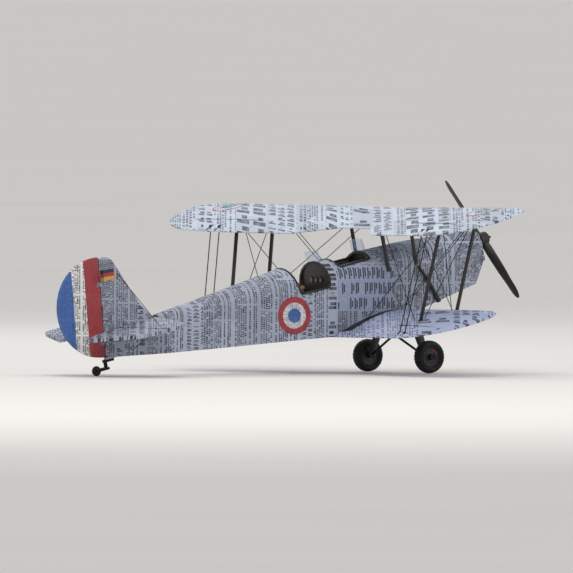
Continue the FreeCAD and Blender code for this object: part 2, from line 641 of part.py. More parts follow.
def bay_box(frame, length, grow):
    """The room for an aileron, behind and round its hinge, grown by a margin."""
    back = v.chord * (1 - v.hinge_share) + 8
    front = v.nose_radius + v.gap + grow
    tall = 12.0
    ends = v.gap + grow
    corner = Vector(-back, -ends, -tall / 2)
    return placed(frame, Part.makeBox(back + front, length + 2 * ends, tall, corner))


def make_aileron(wing, frame, length, outer):
    """One left aileron: rounded nose, bore for the hinge wire and slots for the link rods."""
    back = v.chord * (1 - v.hinge_share) + 8
    behind = placed(frame, Part.makeBox(back, length, 12.0, Vector(-back, 0, -6.0)))
    nose = placed(frame, Part.makeCylinder(v.nose_radius, length, Vector(), ALONG_Y))
    body = outer.common(behind).fuse(nose)
    bore = Part.makeCylinder(v.pin + v.running, length + 2, Vector(0, -1, 0), ALONG_Y)
    body = biggest(body.cut(placed(frame, bore)))
    for y in link_places(wing):
        slot = Part.makeBox(back, v.slot, 12.0, Vector(-back - v.link_arm + 2.4, y - v.slot / 2, -6.0))
        pin = Part.makeCylinder(v.pin, v.slot + 1.0, Vector(-v.link_arm, y - v.slot / 2 - 0.5, 0), ALONG_Y)
        body = body.cut(placed(frame, slot)).fuse(placed(frame, pin))
    return biggest(body)


def link_places(wing):
    """How far along the hinge the link rods are, leaning out like the struts."""
    lean = v.upper_strut_y - v.lower_strut_y if wing == "upper" else 0.0
    return [v.link_y + lean + i * v.link_pitch for i in range(2)]


def make_links(frames):
    """The two left link rods: an eye round a pin at each end."""
    rods = []
    for low, high in zip(link_places("lower"), link_places("upper")):
        start = frames["lower"].multVec(Vector(-v.link_arm, low, 0))
        end = frames["upper"].multVec(Vector(-v.link_arm, high, 0))
        bar = rod(start, end, v.pin)
        holes = []
        for wing, point, free in (("lower", start, v.running), ("upper", end, v.open_fit)):
            turned = Placement(point, frames[wing].Rotation)
            face = Vector(0, -v.eye_thick / 2, 0)
            disc = Part.makeCylinder(v.pin + free + v.eye_wall, v.eye_thick, face, ALONG_Y)
            hole = Part.makeCylinder(v.pin + free, v.eye_thick + 4, face - ALONG_Y * 2, ALONG_Y)
            bar = bar.fuse(placed(turned, disc))
            holes.append(placed(turned, hole))
        rods.append(biggest(bar.cut(holes)))
    both("aileron_links", Part.Compound(rods))


def strip(wing, share, y_start, y_end, width):
    """A tall plank along a wing at a share of the chord."""
    ends = [wing_point(wing, y, share) for y in (y_start, y_end)]
    if y_start < v.root_y:
        ends.insert(1, wing_point(wing, v.root_y, share))
    front = [Vector(p.x + width / 2, p.y, -REACH / 2) for p in ends]
    rear = [p - Vector(width, 0, 0) for p in reversed(front)]
    face = Part.Face(Part.makePolygon(front + rear + front[:1]))
    return face.extrude(Vector(0, 0, REACH))


def make_wings():
    """Skins, spars, ribs, ailerons, hinge wires and links of the four wings and the centre section."""
    outers, frames = {}, {}
    spars, ribs, wires = [], [], []
    body = hull(0.0)
    for wing in ("upper", "lower"):
        outer = wing_solid(wing)
        hollow = wing_solid(wing, v.wing_skin)
        frame, length = hinge_frame(wing)
        frames[wing] = frame
        hollow = hollow.cut(bay_box(frame, length, v.bay_wall))
        start = Vector(0, -v.bay_wall, 0)
        wire = placed(frame, Part.makeCylinder(v.pin, length + 2 * v.bay_wall, start, ALONG_Y))
        shell = outer.cut([hollow, bay_box(frame, length, 0.0), wire])
        if wing == "lower":
            shell = shell.cut(body)
            hollow = hollow.cut(body)
        both(f"{wing}_skin", biggest(shell))
        both(f"{wing}_aileron", make_aileron(wing, frame, length, outer))
        inner = v.root_y if wing == "upper" else v.heel_half - 3
        span = v.upper_span if wing == "upper" else v.lower_span
        planks = [strip(wing, share, inner, span - 12, v.spar_width)
                  for share in (v.front_spar, v.rear_spar)]
        beams = [biggest(hollow.common(plank)) for plank in planks]
        count = int((span - v.nose_round - inner) / v.rib_pitch)
        for i in range(count + 1):
            y = (v.root_y if wing == "upper" else v.heel_half + 1) + i * v.rib_pitch
            plate = Part.makeBox(REACH, v.rib_wall, REACH, Vector(-REACH / 2, y, -REACH / 2))
            ribs += [r for r in hollow.common(plate).cut(beams).Solids if r.Volume > 0.5]
        spars += beams
        wires.append(wire)
        outers[wing] = outer
    make_links(frames)
    middle = make_centre(spars)
    keep_shape("wing_spars", Part.Compound(spars + [mirrored(b) for b in spars[:4]]))
    keep_shape("wing_ribs", Part.Compound(ribs + [mirrored(r) for r in ribs]))
    solids = {"upper": outers["upper"].fuse([mirrored(outers["upper"]), middle]),
              "lower": outers["lower"].fuse(mirrored(outers["lower"]))}
    return solids, wires


def make_centre(spars):
    """The straight centre section of the upper wing, with its own spars."""
    whole = Part.makeLoft([foil("upper", -v.root_y), foil("upper", v.root_y)], True, True)
    hollow = Part.makeLoft([foil("upper", y, v.wing_skin) for y in (-v.root_y, v.root_y)], True, True)
    keep_shape("upper_centre_skin", biggest(whole.cut(hollow)))
    for share in (v.front_spar, v.rear_spar):
        start = wing_point("upper", -v.root_y, share)
        plank = Part.makeBox(v.spar_width, 2 * v.root_y, 24, start - Vector(v.spar_width / 2, 0, 12))
        spars.append(biggest(hollow.common(plank)))
    return whole


# ---------------------------------------------------------------- struts and wires

def make_struts(wings):
    """Interplane and cabane struts, cut to fit the wings."""
    tools = [wings["upper"], wings["lower"]]
    bars = []
    for share in (v.front_spar, v.strut_rear):
        low = wing_point("lower", v.lower_strut_y, share)
        high = wing_point("upper", v.upper_strut_y, share, 2.0)
        bars.append(biggest(flat_bar(low, high, v.strut_chord, v.strut_chord, v.strut_wall).cut(tools)))
    both("interplane_struts", Part.Compound(bars))
    posts = []
    for foot, share in ((v.cabane_front, v.cabane_share), (v.cabane_rear, v.cabane_rear_share)):
        half = v.wall_half + (v.heel_half - v.wall_half) * (v.wall_x - foot) / (v.wall_x - v.heel_x)
        low = Vector(foot, half + v.strut_wall / 4, v.cabane_foot)
        high = wing_point("upper", v.cabane_y, share, 2.0)
        post = flat_bar(low, high, v.strut_chord, v.strut_chord, v.strut_wall)
        post = biggest(post.cut([wings["upper"], hull(0.0)]))
        posts += [post, mirrored(post)]
    keep_shape("cabane_struts", Part.Compound(posts))


def wire(start, end, tools):
    """A rigging wire, cut off where it meets what it is fixed to."""
    return biggest(rod(start, end, v.wire).cut(tools))


def make_wires(wings, fin, plane):
    """Flying, landing, incidence and tail wires, each pair fixed on both sides."""
    body = hull(0.0)
    tools = [wings["upper"], wings["lower"], body]
    root = v.heel_half + v.wire_out
    step = Vector(v.wire_pair, 0, 0)
    aside = Vector(0, v.wire * 2 + 0.1, 0)
    ahead = Vector(v.strut_chord / 2 + v.wire + 0.1, 0, 0)
    shares = (v.front_spar, v.strut_rear)
    foot = {share: wing_point("lower", v.lower_strut_y - 2.5, share) for share in shares}
    head = {share: wing_point("upper", v.upper_strut_y - 2.5, share) for share in shares}
    roots = {share: wing_point("lower", root, share) for share in foot}
    tops = {v.front_spar: wing_point("upper", v.root_y + v.wire_out, v.cabane_share),
            v.strut_rear: wing_point("upper", v.root_y + v.wire_out, v.cabane_rear_share)}
    flying = [wire(roots[v.front_spar] + step, head[v.front_spar] + step, tools),
              wire(roots[v.front_spar] - step, head[v.front_spar] - step, tools),
              wire(roots[v.strut_rear] - step, head[v.strut_rear] - step, tools)]
    landing = [wire(foot[share], tops[share], tools) for share in foot]
    front, rear = v.front_spar, v.strut_rear
    cross = [wire(foot[front] - ahead, head[rear] + ahead, tools),
             wire(foot[rear] + ahead + aside, head[front] - ahead + aside, tools)]
    high = Vector(v.fin_top_x + 4, 0, v.fin_top_z - 12)
    spread = Vector(v.fin_knee_x - 13, v.eye_y + 8, v.plane_z)
    low = Vector(v.fin_knee_x - 13, 0, v.stern_belly + 1)
    cross += [wire(high, spread, [fin, plane]), wire(low, spread, [body, plane])]
    for name, group in (("flying_wires", flying), ("landing_wires", landing), ("bracing_wires", cross)):
        keep_shape(name, Part.Compound(group + [mirrored(w) for w in group]))


# ---------------------------------------------------------------- tail

def rudder_frame():
    """The rudder's hinge: Z along it, upwards, X forward, from its middle."""
    turned = Rotation(Vector(0, 1, 0), math.degrees(math.atan(v.lean)))
    return Placement(Vector(v.rudder_x, 0, v.rudder_z), turned)


def hinge_x(z, behind):
    """How far forward the rudder's hinge is at a height, less a distance behind it."""
    return s.rudder_x + (z - s.rudder_z) * s.lean + behind


def eye(name, frame, reach):
    """A hinge eye on a stalk, in a frame whose Z axis is the hinge."""
    foot = frame.multiply(up(-v.eye_width / 2))
    ring = cylinder(name + "_ring", s.nose_radius, s.eye_width, foot)
    stalk = box(name + "_stalk", (reach, s.nose_radius * 2, s.eye_width), foot)
    return [ring, stalk]


def up(z):
    """A shift along Z."""
    return Placement(Vector(0, 0, z), Rotation())


def hinge_tools(name, frame, width, bore):
    """What a hinge eye takes out of a control surface: a notch for the eye and a bore for the wire."""
    long = s.eye_width + s.pin_reach * 2 + 1.0
    hole = cylinder(name + "_bore", bore, long, frame.multiply(up(-float(long) / 2)))
    wide = s.eye_width + s.gap * 2
    deep = s.nose_radius * 2 + s.gap * 2
    corner = Placement(Vector(-v.nose_radius - v.gap, 0, -float(wide) / 2), Rotation())
    notch = box(name + "_notch", (deep + 2.0, width, wide), frame.multiply(corner))
    return [hole, notch]


def make_fin(pins):
    """Fin, stern post and rudder with two hinge eyes."""
    clear = s.nose_radius + s.gap
    foot = s.plane_z + s.tail_wall / 2
    outline = [(s.fin_x, foot), (s.fin_knee_x, s.fin_knee_z), (s.fin_top_x, s.fin_top_z),
               (hinge_x(s.fin_top_z, clear), s.fin_top_z), (hinge_x(foot, clear), foot)]
    blade = pad("fin_blade", "XZ_Plane", outline, s.tail_wall)
    round_edges(blade, s.fin_round, lambda p, d: abs(d.y) > 0.9 and p.z > v.fin_top_z - 1
                and p.x > v.fin_top_x - 1)
    outline = [(s.stern_x, s.stern_belly), (s.stern_x, foot), (hinge_x(foot, clear), foot),
               (hinge_x(s.stern_belly, clear), s.stern_belly)]
    post = pad("post", "XZ_Plane", outline, s.stern_half * 2)
    frame = rudder_frame()
    half_disc = rudder_disc()
    tools = []
    for owner, base, sign in (("fin", blade, 1), ("stern_post", post, -1)):
        place = frame.multiply(up(sign * v.rudder_eye - (1 - sign) * 4.5))
        hole = cylinder(owner + "_hole", s.pin, s.eye_width + 2, place.multiply(up(-v.eye_width / 2 - 1)))
        keep(owner, cut(owner, fuse(owner + "_whole", [base] + eye(owner, place, clear + 0.6)), [hole]))
        tools += hinge_tools(owner + "_rudder", place, s.tail_wall * 3, s.pin + s.running)
        pins.append(hinge_wire(place))
    nose = cylinder("rudder_nose", s.nose_radius, s.rudder * 2, frame.multiply(up(-v.rudder)))
    keep("rudder", cut("rudder", fuse("rudder_whole", [half_disc, nose]), tools))


def rudder_disc():
    """The flat blade of the rudder, half a disc behind its hinge."""
    disc = cylinder("rudder_disc", s.rudder, s.tail_wall)
    disc.Placement = rudder_frame().multiply(along_y(0, -v.tail_wall / 2, 0))
    side = s.rudder * 2 + 4
    front = box("rudder_front", (side, side, side), rudder_frame().multiply(up(-float(side) / 2)))
    return cut("rudder_blade", disc, [front])


def hinge_wire(frame):
    """A hinge wire through an eye, in a frame whose Z axis is the hinge."""
    long = v.eye_width + 2 * v.pin_reach
    return placed(frame, Part.makeCylinder(v.pin, long, Vector(0, 0, -long / 2)))


def make_tailplane(pins):
    """Tailplane, elevators and the torque tube that joins them."""
    clear = s.nose_radius + s.gap
    rear = s.elevator_x + clear
    tip = s.plane_half
    outline = [(s.plane_x, -s.seat_half), (s.plane_x, s.seat_half), (s.plane_x - s.plane_rake, tip),
               (rear, tip), (rear, -tip), (s.plane_x - s.plane_rake, -tip)]
    plate = pad("tailplane_plate", "XY_Plane", outline, s.tail_wall, offset=s.plane_z)
    round_edges(plate, s.plane_round, lambda p, d: abs(d.z) > 0.9 and abs(p.y) > v.plane_half - 1
                and p.x > v.plane_x - v.plane_rake - 1)
    parts, holes = [plate], []
    edge = s.tail_wall / 2
    for side, sign in SIDES:
        root, out = s.elevator_in * sign, (tip - 1.0) * sign
        room = s.rudder_room * sign
        knee = hinge_x(s.plane_z, s.nose_radius * 2)
        end = s.elevator_end + s.elevator_tip
        outline = [(s.elevator_x, root), (s.elevator_x, out), (end, out), (s.elevator_end, room),
                   (knee, root)]
        blade = pad(f"elevator_plate_{side}", "XY_Plane", outline, s.tail_wall, offset=s.plane_z)
        round_edges(blade, s.elevator_round, lambda p, d: abs(d.z) > 0.9 and abs(p.y) > v.plane_half - 2
                    and p.x < v.elevator_x - 5)
        start = v.elevator_in if sign > 0 else 1 - v.plane_half
        nose = cylinder(f"elevator_nose_{side}", edge, tip - 1.0 - s.elevator_in,
                        along_y(v.elevator_x, start, v.plane_z))
        place = along_y(v.elevator_x, v.eye_y * sign, v.plane_z)
        tools = hinge_tools(f"elevator_{side}", place, s.tail_wall * 3, s.pin + s.running)
        whole = fuse(f"elevator_whole_{side}", [blade, nose])
        keep(f"elevator_{side}", cut(f"elevator_{side}", whole, tools))
        parts += eye(f"plane_{side}", place, clear + 0.6)
        foot = place.multiply(up(-v.eye_width / 2 - 1))
        holes.append(cylinder(f"plane_hole_{side}", s.pin, s.eye_width + 2, foot))
        pins.append(hinge_wire(place))
    keep("tailplane", cut("tailplane", fuse("tailplane_whole", parts), holes))
    place = along_y(v.elevator_x, -v.elevator_in, v.plane_z)
    tube = cylinder("elevator_tube", s.tube, s.elevator_in * 2, place)
    keep("elevator_tube", tube, tube.Placement)


# ---------------------------------------------------------------- landing gear

def make_gear():
    """Legs, half axles, bracket, wheels and caps."""
    body = hull(0.0)
    inner = v.track / 2 - v.rim_width / 2 - v.side_play
    outer = v.track / 2 + v.rim_width / 2 + v.side_play
    hub = Vector(v.axle_x, inner - v.flange_wall / 2, v.axle_z)
    face = Vector(v.axle_x, inner - v.flange_wall, v.axle_z)
    flange = Part.makeCylinder(v.flange, v.flange_wall, face, ALONG_Y)
    face = Vector(v.axle_x, inner - 1, v.axle_z)
    stub = Part.makeCylinder(v.axle, outer + v.cap_wall - face.y, face, ALONG_Y)
    apex = Vector(v.axle_x, 0, v.apex_z)
    half = rod(Vector(v.axle_x, -2, v.apex_z + 1), hub, v.stay)
    left = Part.makeBox(REACH, REACH, REACH, Vector(-REACH / 2, 0, -REACH / 2))
    axle = flange.fuse([stub, half]).common(left)
    axles = Part.Compound([axle, mirrored(axle)])
    keep_shape("half_axles", axles)
    top = Vector(v.leg_x, v.leg_y, v.wall_belly + 2)
    leg = biggest(flat_bar(top, hub, v.leg_chord, v.leg_foot, v.leg_wall).cut([body, axle]))
    keep_shape("landing_legs", Part.Compound([leg, mirrored(leg)]))
    stays = [rod(apex, Vector(v.axle_x, sign * v.stay_y, v.wall_belly), v.stay) for sign in (1, -1)]
    bracket = stays[0].fuse([stays[1], Part.makeSphere(v.stay, apex)])
    keep_shape("axle_bracket", biggest(bracket.cut([body, axles])))
    caps = []
    for side, sign in SIDES:
        place = Placement(Vector(v.axle_x, sign * v.track / 2, v.axle_z), Rotation())
        wide, rim = s.tyre_width / 2, s.rim_width / 2
        crown, wall = s.tyre - 1.8, s.rim + 1.6
        profile = [(s.rim, -rim), (wall, -wide), (crown, -wide), (s.tyre, -wide / 2),
                   (s.tyre, wide / 2), (crown, wide), (wall, wide), (s.rim, rim)]
        keep(f"tyre_{side}", turn(f"tyre_{side}", profile), place)
        bore = s.axle + s.running
        boss = s.axle + 1.6
        web = rim / 3
        edge = s.rim - 1.4
        profile = [(bore, -rim), (boss, -rim), (boss, -web), (edge, -web), (edge, -rim),
                   (s.rim, -rim), (s.rim, rim), (edge, rim), (edge, web),
                   (boss, web), (boss, rim), (bore, rim)]
        keep(f"wheel_hub_{side}", turn(f"wheel_hub_{side}", profile), place)
        face = Vector(v.axle_x, outer, v.axle_z)
        ring = Part.makeCylinder(v.cap, v.cap_wall, face, ALONG_Y)
        ring = ring.cut(Part.makeCylinder(v.axle, v.cap_wall, face, ALONG_Y))
        caps.append(ring if sign > 0 else mirrored(ring))
    keep_shape("wheel_caps", Part.Compound(caps))


def make_tail_wheel():
    """Leg under the stern, castoring fork and tail wheel."""
    clear = s.swivel + s.running
    foot = [(s.swivel_x + 6.5, s.stern_belly), (s.swivel_x + 6.5, s.swivel_top),
            (s.swivel_x - s.boss, s.swivel_top), (s.swivel_x - s.boss, s.stern_belly)]
    arm = pad("tail_arm", "XZ_Plane", foot, s.boss * 2)
    place = Placement(Vector(v.swivel_x, 0, v.swivel_end), Rotation())
    boss = cylinder("tail_boss", s.boss, s.swivel_top - s.swivel_end, place)
    bore = cylinder("tail_bore", clear, s.swivel_top - s.swivel_end + 0.6, place)
    keep("tail_leg", cut("tail_leg", fuse("tail_leg_whole", [arm, boss]), [bore]))
    gap = s.tail_width / 2 + s.gap
    top = s.swivel_end - s.shaft_play
    crown = box("fork_crown", (s.boss * 2, (gap + s.fork_wall) * 2, s.fork_tall),
                Placement(Vector(v.swivel_x - v.boss, 0, float(top) - v.fork_tall), Rotation()))
    arms = []
    for side, sign in SIDES:
        start = float(gap) if sign > 0 else -float(gap) - v.fork_wall
        heel = s.tail_x - s.tail_pin * 2
        outline = [(s.swivel_x + s.boss, top - s.fork_tall), (s.swivel_x + s.boss, top),
                   (heel, s.tail_z + s.fork_tall / 2), (heel, s.tail_z - s.fork_tall / 2)]
        plate = pad(f"fork_arm_{side}", "XZ_Plane", outline, s.fork_wall)
        plate.Placement = Placement(Vector(0, start + v.fork_wall / 2, 0), Rotation())
        arms.append(plate)
    pin = cylinder("fork_pin", s.swivel, s.swivel_top - s.swivel_end + s.shaft_play,
                   Placement(Vector(v.swivel_x, 0, float(top)), Rotation()))
    place = along_y(v.tail_x, -float(gap) - v.fork_wall, v.tail_z)
    axle = cylinder("fork_axle", s.tail_pin, (gap + s.fork_wall) * 2, place)
    keep("tail_fork", fuse("tail_fork", [crown, pin, axle] + arms))
    wide = s.tail_width / 2
    bore = s.tail_pin + s.running
    round_off = s.tail_tyre - 0.7
    wheel = turn("tail_wheel", [(bore, -wide), (round_off, -wide), (s.tail_tyre, -wide / 2),
                                (s.tail_tyre, wide / 2), (round_off, wide), (bore, wide)])
    keep("tail_wheel", wheel, Placement(Vector(v.tail_x, 0, v.tail_z), Rotation()))


# ---------------------------------------------------------------- propeller

def make_propeller():
    """Propeller, hub plate, shaft with its collar, and two bushes."""
    back = Vector(v.prop_x - v.prop_thick / 2, 0, 0)
    boss = Part.makeCylinder(v.prop_boss, v.prop_thick, back, ALONG_X)
    rings = []
    for share in (0.05, 0.2, 0.4, 0.6, 0.8, 0.93, 1.0):
        radius = share * v.prop
        chord = v.blade * (0.62 + 1.1 * share - 1.15 * share ** 2) * (0.4 if share == 1.0 else 1.0)
        wall = v.blade_wall * (1.9 - 1.45 * share) / 1.3
        twist = math.atan2(v.prop_pitch, 2 * math.pi * max(radius, 9.0))
        fore = Vector(math.sin(twist), math.cos(twist), 0)
        aside = Vector(-math.cos(twist), math.sin(twist), 0)
        oval = Part.Ellipse(Vector(), chord / 2, wall / 2).toShape()
        turned = Placement(Vector(0, 0, radius), Rotation(fore, aside, fore.cross(aside), "XYZ"))
        rings.append(Part.Wire([oval.transformGeometry(turned.toMatrix())]))
    blade = Part.makeLoft(rings, True, False)
    other = blade.copy()
    other.rotate(Vector(), Vector(1, 0, 0), 180)
    blades = blade.fuse(other)
    blades.translate(Vector(v.prop_x, 0, 0))
    blades.rotate(Vector(v.prop_x, 0, 0), Vector(1, 0, 0), -v.prop_angle)
    bore = Part.makeCylinder(v.shaft, v.prop_thick + 2, back - ALONG_X, ALONG_X)
    keep_shape("propeller", biggest(blades.fuse(boss).cut(bore)))
    face = s.prop_x + s.prop_thick / 2
    plate = cylinder("hub_plate_disc", s.hub_plate, s.hub_wall, along_x(face))
    hole = cylinder("hub_plate_hole", s.shaft, s.hub_wall, along_x(face))
    keep("propeller_hub_plate", cut("propeller_hub_plate", plate, [hole]))
    back = s.wall_x - s.bulkhead / 2 - s.bush_length / 2
    rear = back - s.shaft_play - s.collar_wall
    front = face + s.hub_wall
    rod_piece = cylinder("shaft_rod", s.shaft, front - rear, along_x(rear))
    spigot = cylinder("shaft_spigot", s.shaft_tip, s.shaft_nose + 1.0, along_x(front - 1.0))
    ring = cylinder("shaft_collar", s.collar, s.collar_wall, along_x(rear))
    keep("propeller_shaft", fuse("propeller_shaft", [rod_piece, spigot, ring]))
    front = s.nose_x + s.bulkhead
    sleeve = cylinder("nose_sleeve", s.bush, s.bush_length, along_x(front - s.bush_length))
    flange = cylinder("nose_flange", s.bush_flange, s.bulkhead, along_x(front))
    rear_sleeve = cylinder("rear_sleeve", s.bush, s.bush_length, along_x(back))
    tunnel = cylinder("shaft_tunnel", s.shaft + s.running, face - rear, along_x(rear))
    whole = fuse("nose_bush_whole", [sleeve, flange])
    first = cut("nose_bush", whole, [tunnel])
    second = cut("rear_bush", rear_sleeve, [tunnel])
    doc.recompute()
    keep_shape("propeller_bushes", Part.Compound([first.Shape, second.Shape]))


# ---------------------------------------------------------------- stance and files

def stance():
    """Stand the aeroplane on its tyres, nose up, with its bounding box centred over the origin."""
    run = v.axle_x - v.tail_x
    drop = v.tail_z - v.axle_z
    slope = math.atan2(drop, run) + math.asin((v.tyre - v.tail_tyre) / math.hypot(run, drop))
    angle = math.degrees(slope)
    turned = Placement(Vector(), Rotation(Vector(0, 1, 0), -angle))
    boxes = []
    for piece, place in nodes.values():
        shape = piece.Shape.copy()
        shape.Placement = turned.multiply(shape.Placement if place.isIdentity() else place)
        boxes.append(shape.optimalBoundingBox(True, False))
    middle = (min(b.XMin for b in boxes) + max(b.XMax for b in boxes)) / 2
    low = min(b.ZMin for b in boxes)
    return Placement(Vector(-middle, 0, -low), Rotation(Vector(0, 1, 0), -angle))


def check_and_write():
    """Stand every sub-part in its place, refuse a faulty one, and write one file for each."""
    stand = stance()
    for piece, place in nodes.values():
        piece.Placement = stand.multiply(place)
    doc.recompute()
    for item in doc.Objects:
        if "Invalid" in item.State or "Error" in item.State:
            raise RuntimeError(f"{item.Label} failed to build")
    os.makedirs("parts", exist_ok=True)
    for name, (piece, place) in nodes.items():
        if piece.Shape.isNull() or not piece.Shape.isValid():
            raise RuntimeError(f"{name} has no valid shape")
        piece.Shape.exportStep(f"parts/{name}.step")
    print(len(nodes), "sub-parts; stance", stand.Base, stand.Rotation.toEuler())


def main():
    """Build the whole model."""
    make_fuselage()
    make_cockpits()
    make_exhaust()
    wings, pins = make_wings()
    make_struts(wings)
    pins += [mirrored(pin) for pin in pins]
    make_fin(pins)
    make_tailplane(pins)
    make_wires(wings, nodes["fin"][0].Shape, nodes["tailplane"][0].Shape)
    keep_shape("hinge_pins", Part.Compound(pins))
    make_gear()
    make_tail_wheel()
    make_propeller()
    check_and_write()


main()
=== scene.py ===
# %% [markdown]
# # A biplane covered in newspaper
# The CAD model gives every piece of this aeroplane its place and its size.  This script loads it as
# a fixed frame, puts a camera, a floor and soft light round it, and then works through the finishes
# and the small pieces one after the other.  Run the cells from the top.

# %% Load the frame
import json
import math

import bpy
from mathutils import Matrix, Vector

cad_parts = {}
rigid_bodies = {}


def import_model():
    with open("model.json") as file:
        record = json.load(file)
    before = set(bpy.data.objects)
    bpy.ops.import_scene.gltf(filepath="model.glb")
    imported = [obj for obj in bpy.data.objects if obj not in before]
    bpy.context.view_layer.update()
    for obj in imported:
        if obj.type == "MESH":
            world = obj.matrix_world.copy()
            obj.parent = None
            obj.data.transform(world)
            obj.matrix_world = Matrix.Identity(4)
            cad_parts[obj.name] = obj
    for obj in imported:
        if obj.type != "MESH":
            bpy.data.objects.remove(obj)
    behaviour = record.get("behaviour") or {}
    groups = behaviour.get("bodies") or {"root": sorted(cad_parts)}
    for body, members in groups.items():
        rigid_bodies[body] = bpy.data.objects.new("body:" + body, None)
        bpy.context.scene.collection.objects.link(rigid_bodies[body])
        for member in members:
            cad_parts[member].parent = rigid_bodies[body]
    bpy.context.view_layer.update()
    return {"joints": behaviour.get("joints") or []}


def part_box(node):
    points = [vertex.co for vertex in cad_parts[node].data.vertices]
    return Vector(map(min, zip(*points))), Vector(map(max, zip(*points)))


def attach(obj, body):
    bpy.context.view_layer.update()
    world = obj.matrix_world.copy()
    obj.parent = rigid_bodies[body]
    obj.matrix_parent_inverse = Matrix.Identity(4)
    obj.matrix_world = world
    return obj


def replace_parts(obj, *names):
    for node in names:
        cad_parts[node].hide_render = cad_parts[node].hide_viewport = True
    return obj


bpy.ops.object.select_all(action="SELECT")
bpy.ops.object.delete()
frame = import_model()

# %% [markdown]
# ## The aeroplane's own directions
# The model stands nose up on three wheels, so its thrust line is tilted.  The propeller's joint lies
# on that line, which gives a ready-made datum: with it a place can be stated as a modeller would,
# so many millimetres forward, to the left and up.

# %% Directions of the thrust line
MM = 0.001
HUB_AHEAD = 85.0          # the propeller, ahead of the datum
spin = next(joint for joint in frame["joints"] if joint["name"] == "propeller_spin")
thrust = Vector(spin["axis"])
nose_up = math.atan2(thrust.z, thrust.x)
datum = Vector(spin["pos_m"]) - thrust * HUB_AHEAD * MM
stance = Matrix.Translation(datum) @ Matrix.Rotation(-nose_up, 4, "Y")


def at(forward, left, up):
    """A place in the row frame, from millimetres along the aeroplane's own directions."""
    return stance @ (Vector((forward, left, up)) * MM)


print("nose up", round(math.degrees(nose_up), 2), "degrees")
print("datum", tuple(round(c, 4) for c in datum))

# %% [markdown]
# ## Camera, floor and light
# A long lens from far away keeps the wings nearly free of perspective.  The light is three large
# soft panels and an even pale world, as on a studio table, so that shadows stay soft.  The floor
# reaches far enough back for its edge to lie above the picture.

# %% Camera
AZIMUTH = math.radians(33.5)      # the camera stands to the right and a little behind
ELEVATION = math.radians(0.9)
VIEW_CENTRE = Vector((0.0353, 0.0413, 0.0575))
VIEW_WIDTH = 0.3832               # of the picture, at the model
LENS, SENSOR = 1500.0, 36.0
away = Vector((-math.sin(AZIMUTH) * math.cos(ELEVATION),
               -math.cos(AZIMUTH) * math.cos(ELEVATION), math.sin(ELEVATION)))
camera_data = bpy.data.cameras.new("camera")
camera_data.lens, camera_data.sensor_width = LENS, SENSOR
camera_data.clip_start, camera_data.clip_end = 0.1, 150.0
camera = bpy.data.objects.new("camera", camera_data)
bpy.context.scene.collection.objects.link(camera)
camera.location = VIEW_CENTRE + away * (LENS / SENSOR * VIEW_WIDTH)
camera.rotation_mode = "QUATERNION"
camera.rotation_quaternion = (-away).to_track_quat("-Z", "Y")
bpy.context.scene.camera = camera
print("camera at", tuple(round(c, 3) for c in camera.location))

# %% Floor
FLOOR_RADIUS, FLOOR_DROP = 80.0, 0.0002   # metres; the drop keeps the tyres from touching it
bpy.ops.mesh.primitive_circle_add(vertices=96, radius=FLOOR_RADIUS, fill_type="NGON",
                                  location=(0, 0, -FLOOR_DROP))
floor = bpy.context.object
floor.name = "floor"


# %% Light
def panel(name, place, size, power, tint):
    """A soft square light that looks at the model."""
    data = bpy.data.lights.new(name, "AREA")
    data.size, data.energy, data.color = size, power, tint
    light = bpy.data.objects.new(name, data)
    bpy.context.scene.collection.objects.link(light)
    light.location = place
    light.rotation_mode = "QUATERNION"
    light.rotation_quaternion = (VIEW_CENTRE - light.location).to_track_quat("-Z", "Y")


panel("key_light", Vector((-0.9, -1.2, 1.5)), 1.0, 13.0, (1.0, 0.98, 0.95))
panel("fill_light", Vector((1.4, -1.3, 0.7)), 1.2, 3.5, (0.93, 0.96, 1.0))
panel("rim_light", Vector((0.2, 1.4, 1.3)), 1.0, 6.0, (1.0, 1.0, 1.0))
world = bpy.data.worlds.new("studio")
world.use_nodes = True
world.node_tree.nodes["Background"].inputs["Color"].default_value = (0.86, 0.85, 0.84, 1)
world.node_tree.nodes["Background"].inputs["Strength"].default_value = 0.84
bpy.context.scene.world = world
bpy.context.scene.view_settings.view_transform = "Standard"

# %% [markdown]
# ## Shader maths in plain Python
# A material is a tree of small nodes.  Wiring them by hand is slow and hard to read, so a socket is
# wrapped in a class that understands + - * / and comparisons: an expression on sockets adds the Math
# nodes itself.  Every other node is added by one method.

# %% The socket class and the material class
class Sock:
    """An output socket that takes part in Python expressions."""

    def __init__(self, finish, socket):
        self.finish = finish
        self.socket = socket

    def math(self, operation, *values):
        """This socket and the values through a Math node."""
        inputs = {i: value for i, value in enumerate((self,) + values)}
        return self.finish.node("Math", {"operation": operation}, inputs)

    def __add__(self, other):
        return self.math("ADD", other)

    def __sub__(self, other):
        return self.math("SUBTRACT", other)

    def __rsub__(self, other):
        return (self * -1.0).math("ADD", other)

    def __mul__(self, other):
        return self.math("MULTIPLY", other)

    def __truediv__(self, other):
        return self.math("DIVIDE", other)

    def __lt__(self, other):
        return self.math("LESS_THAN", other)

    def __gt__(self, other):
        return self.math("GREATER_THAN", other)

    def __abs__(self):
        return self.math("ABSOLUTE")

    def floor(self):
        return self.math("FLOOR")

    def part(self):
        """What is left of the value after its whole number."""
        return self.math("FRACT")

    __radd__ = __add__
    __rmul__ = __mul__


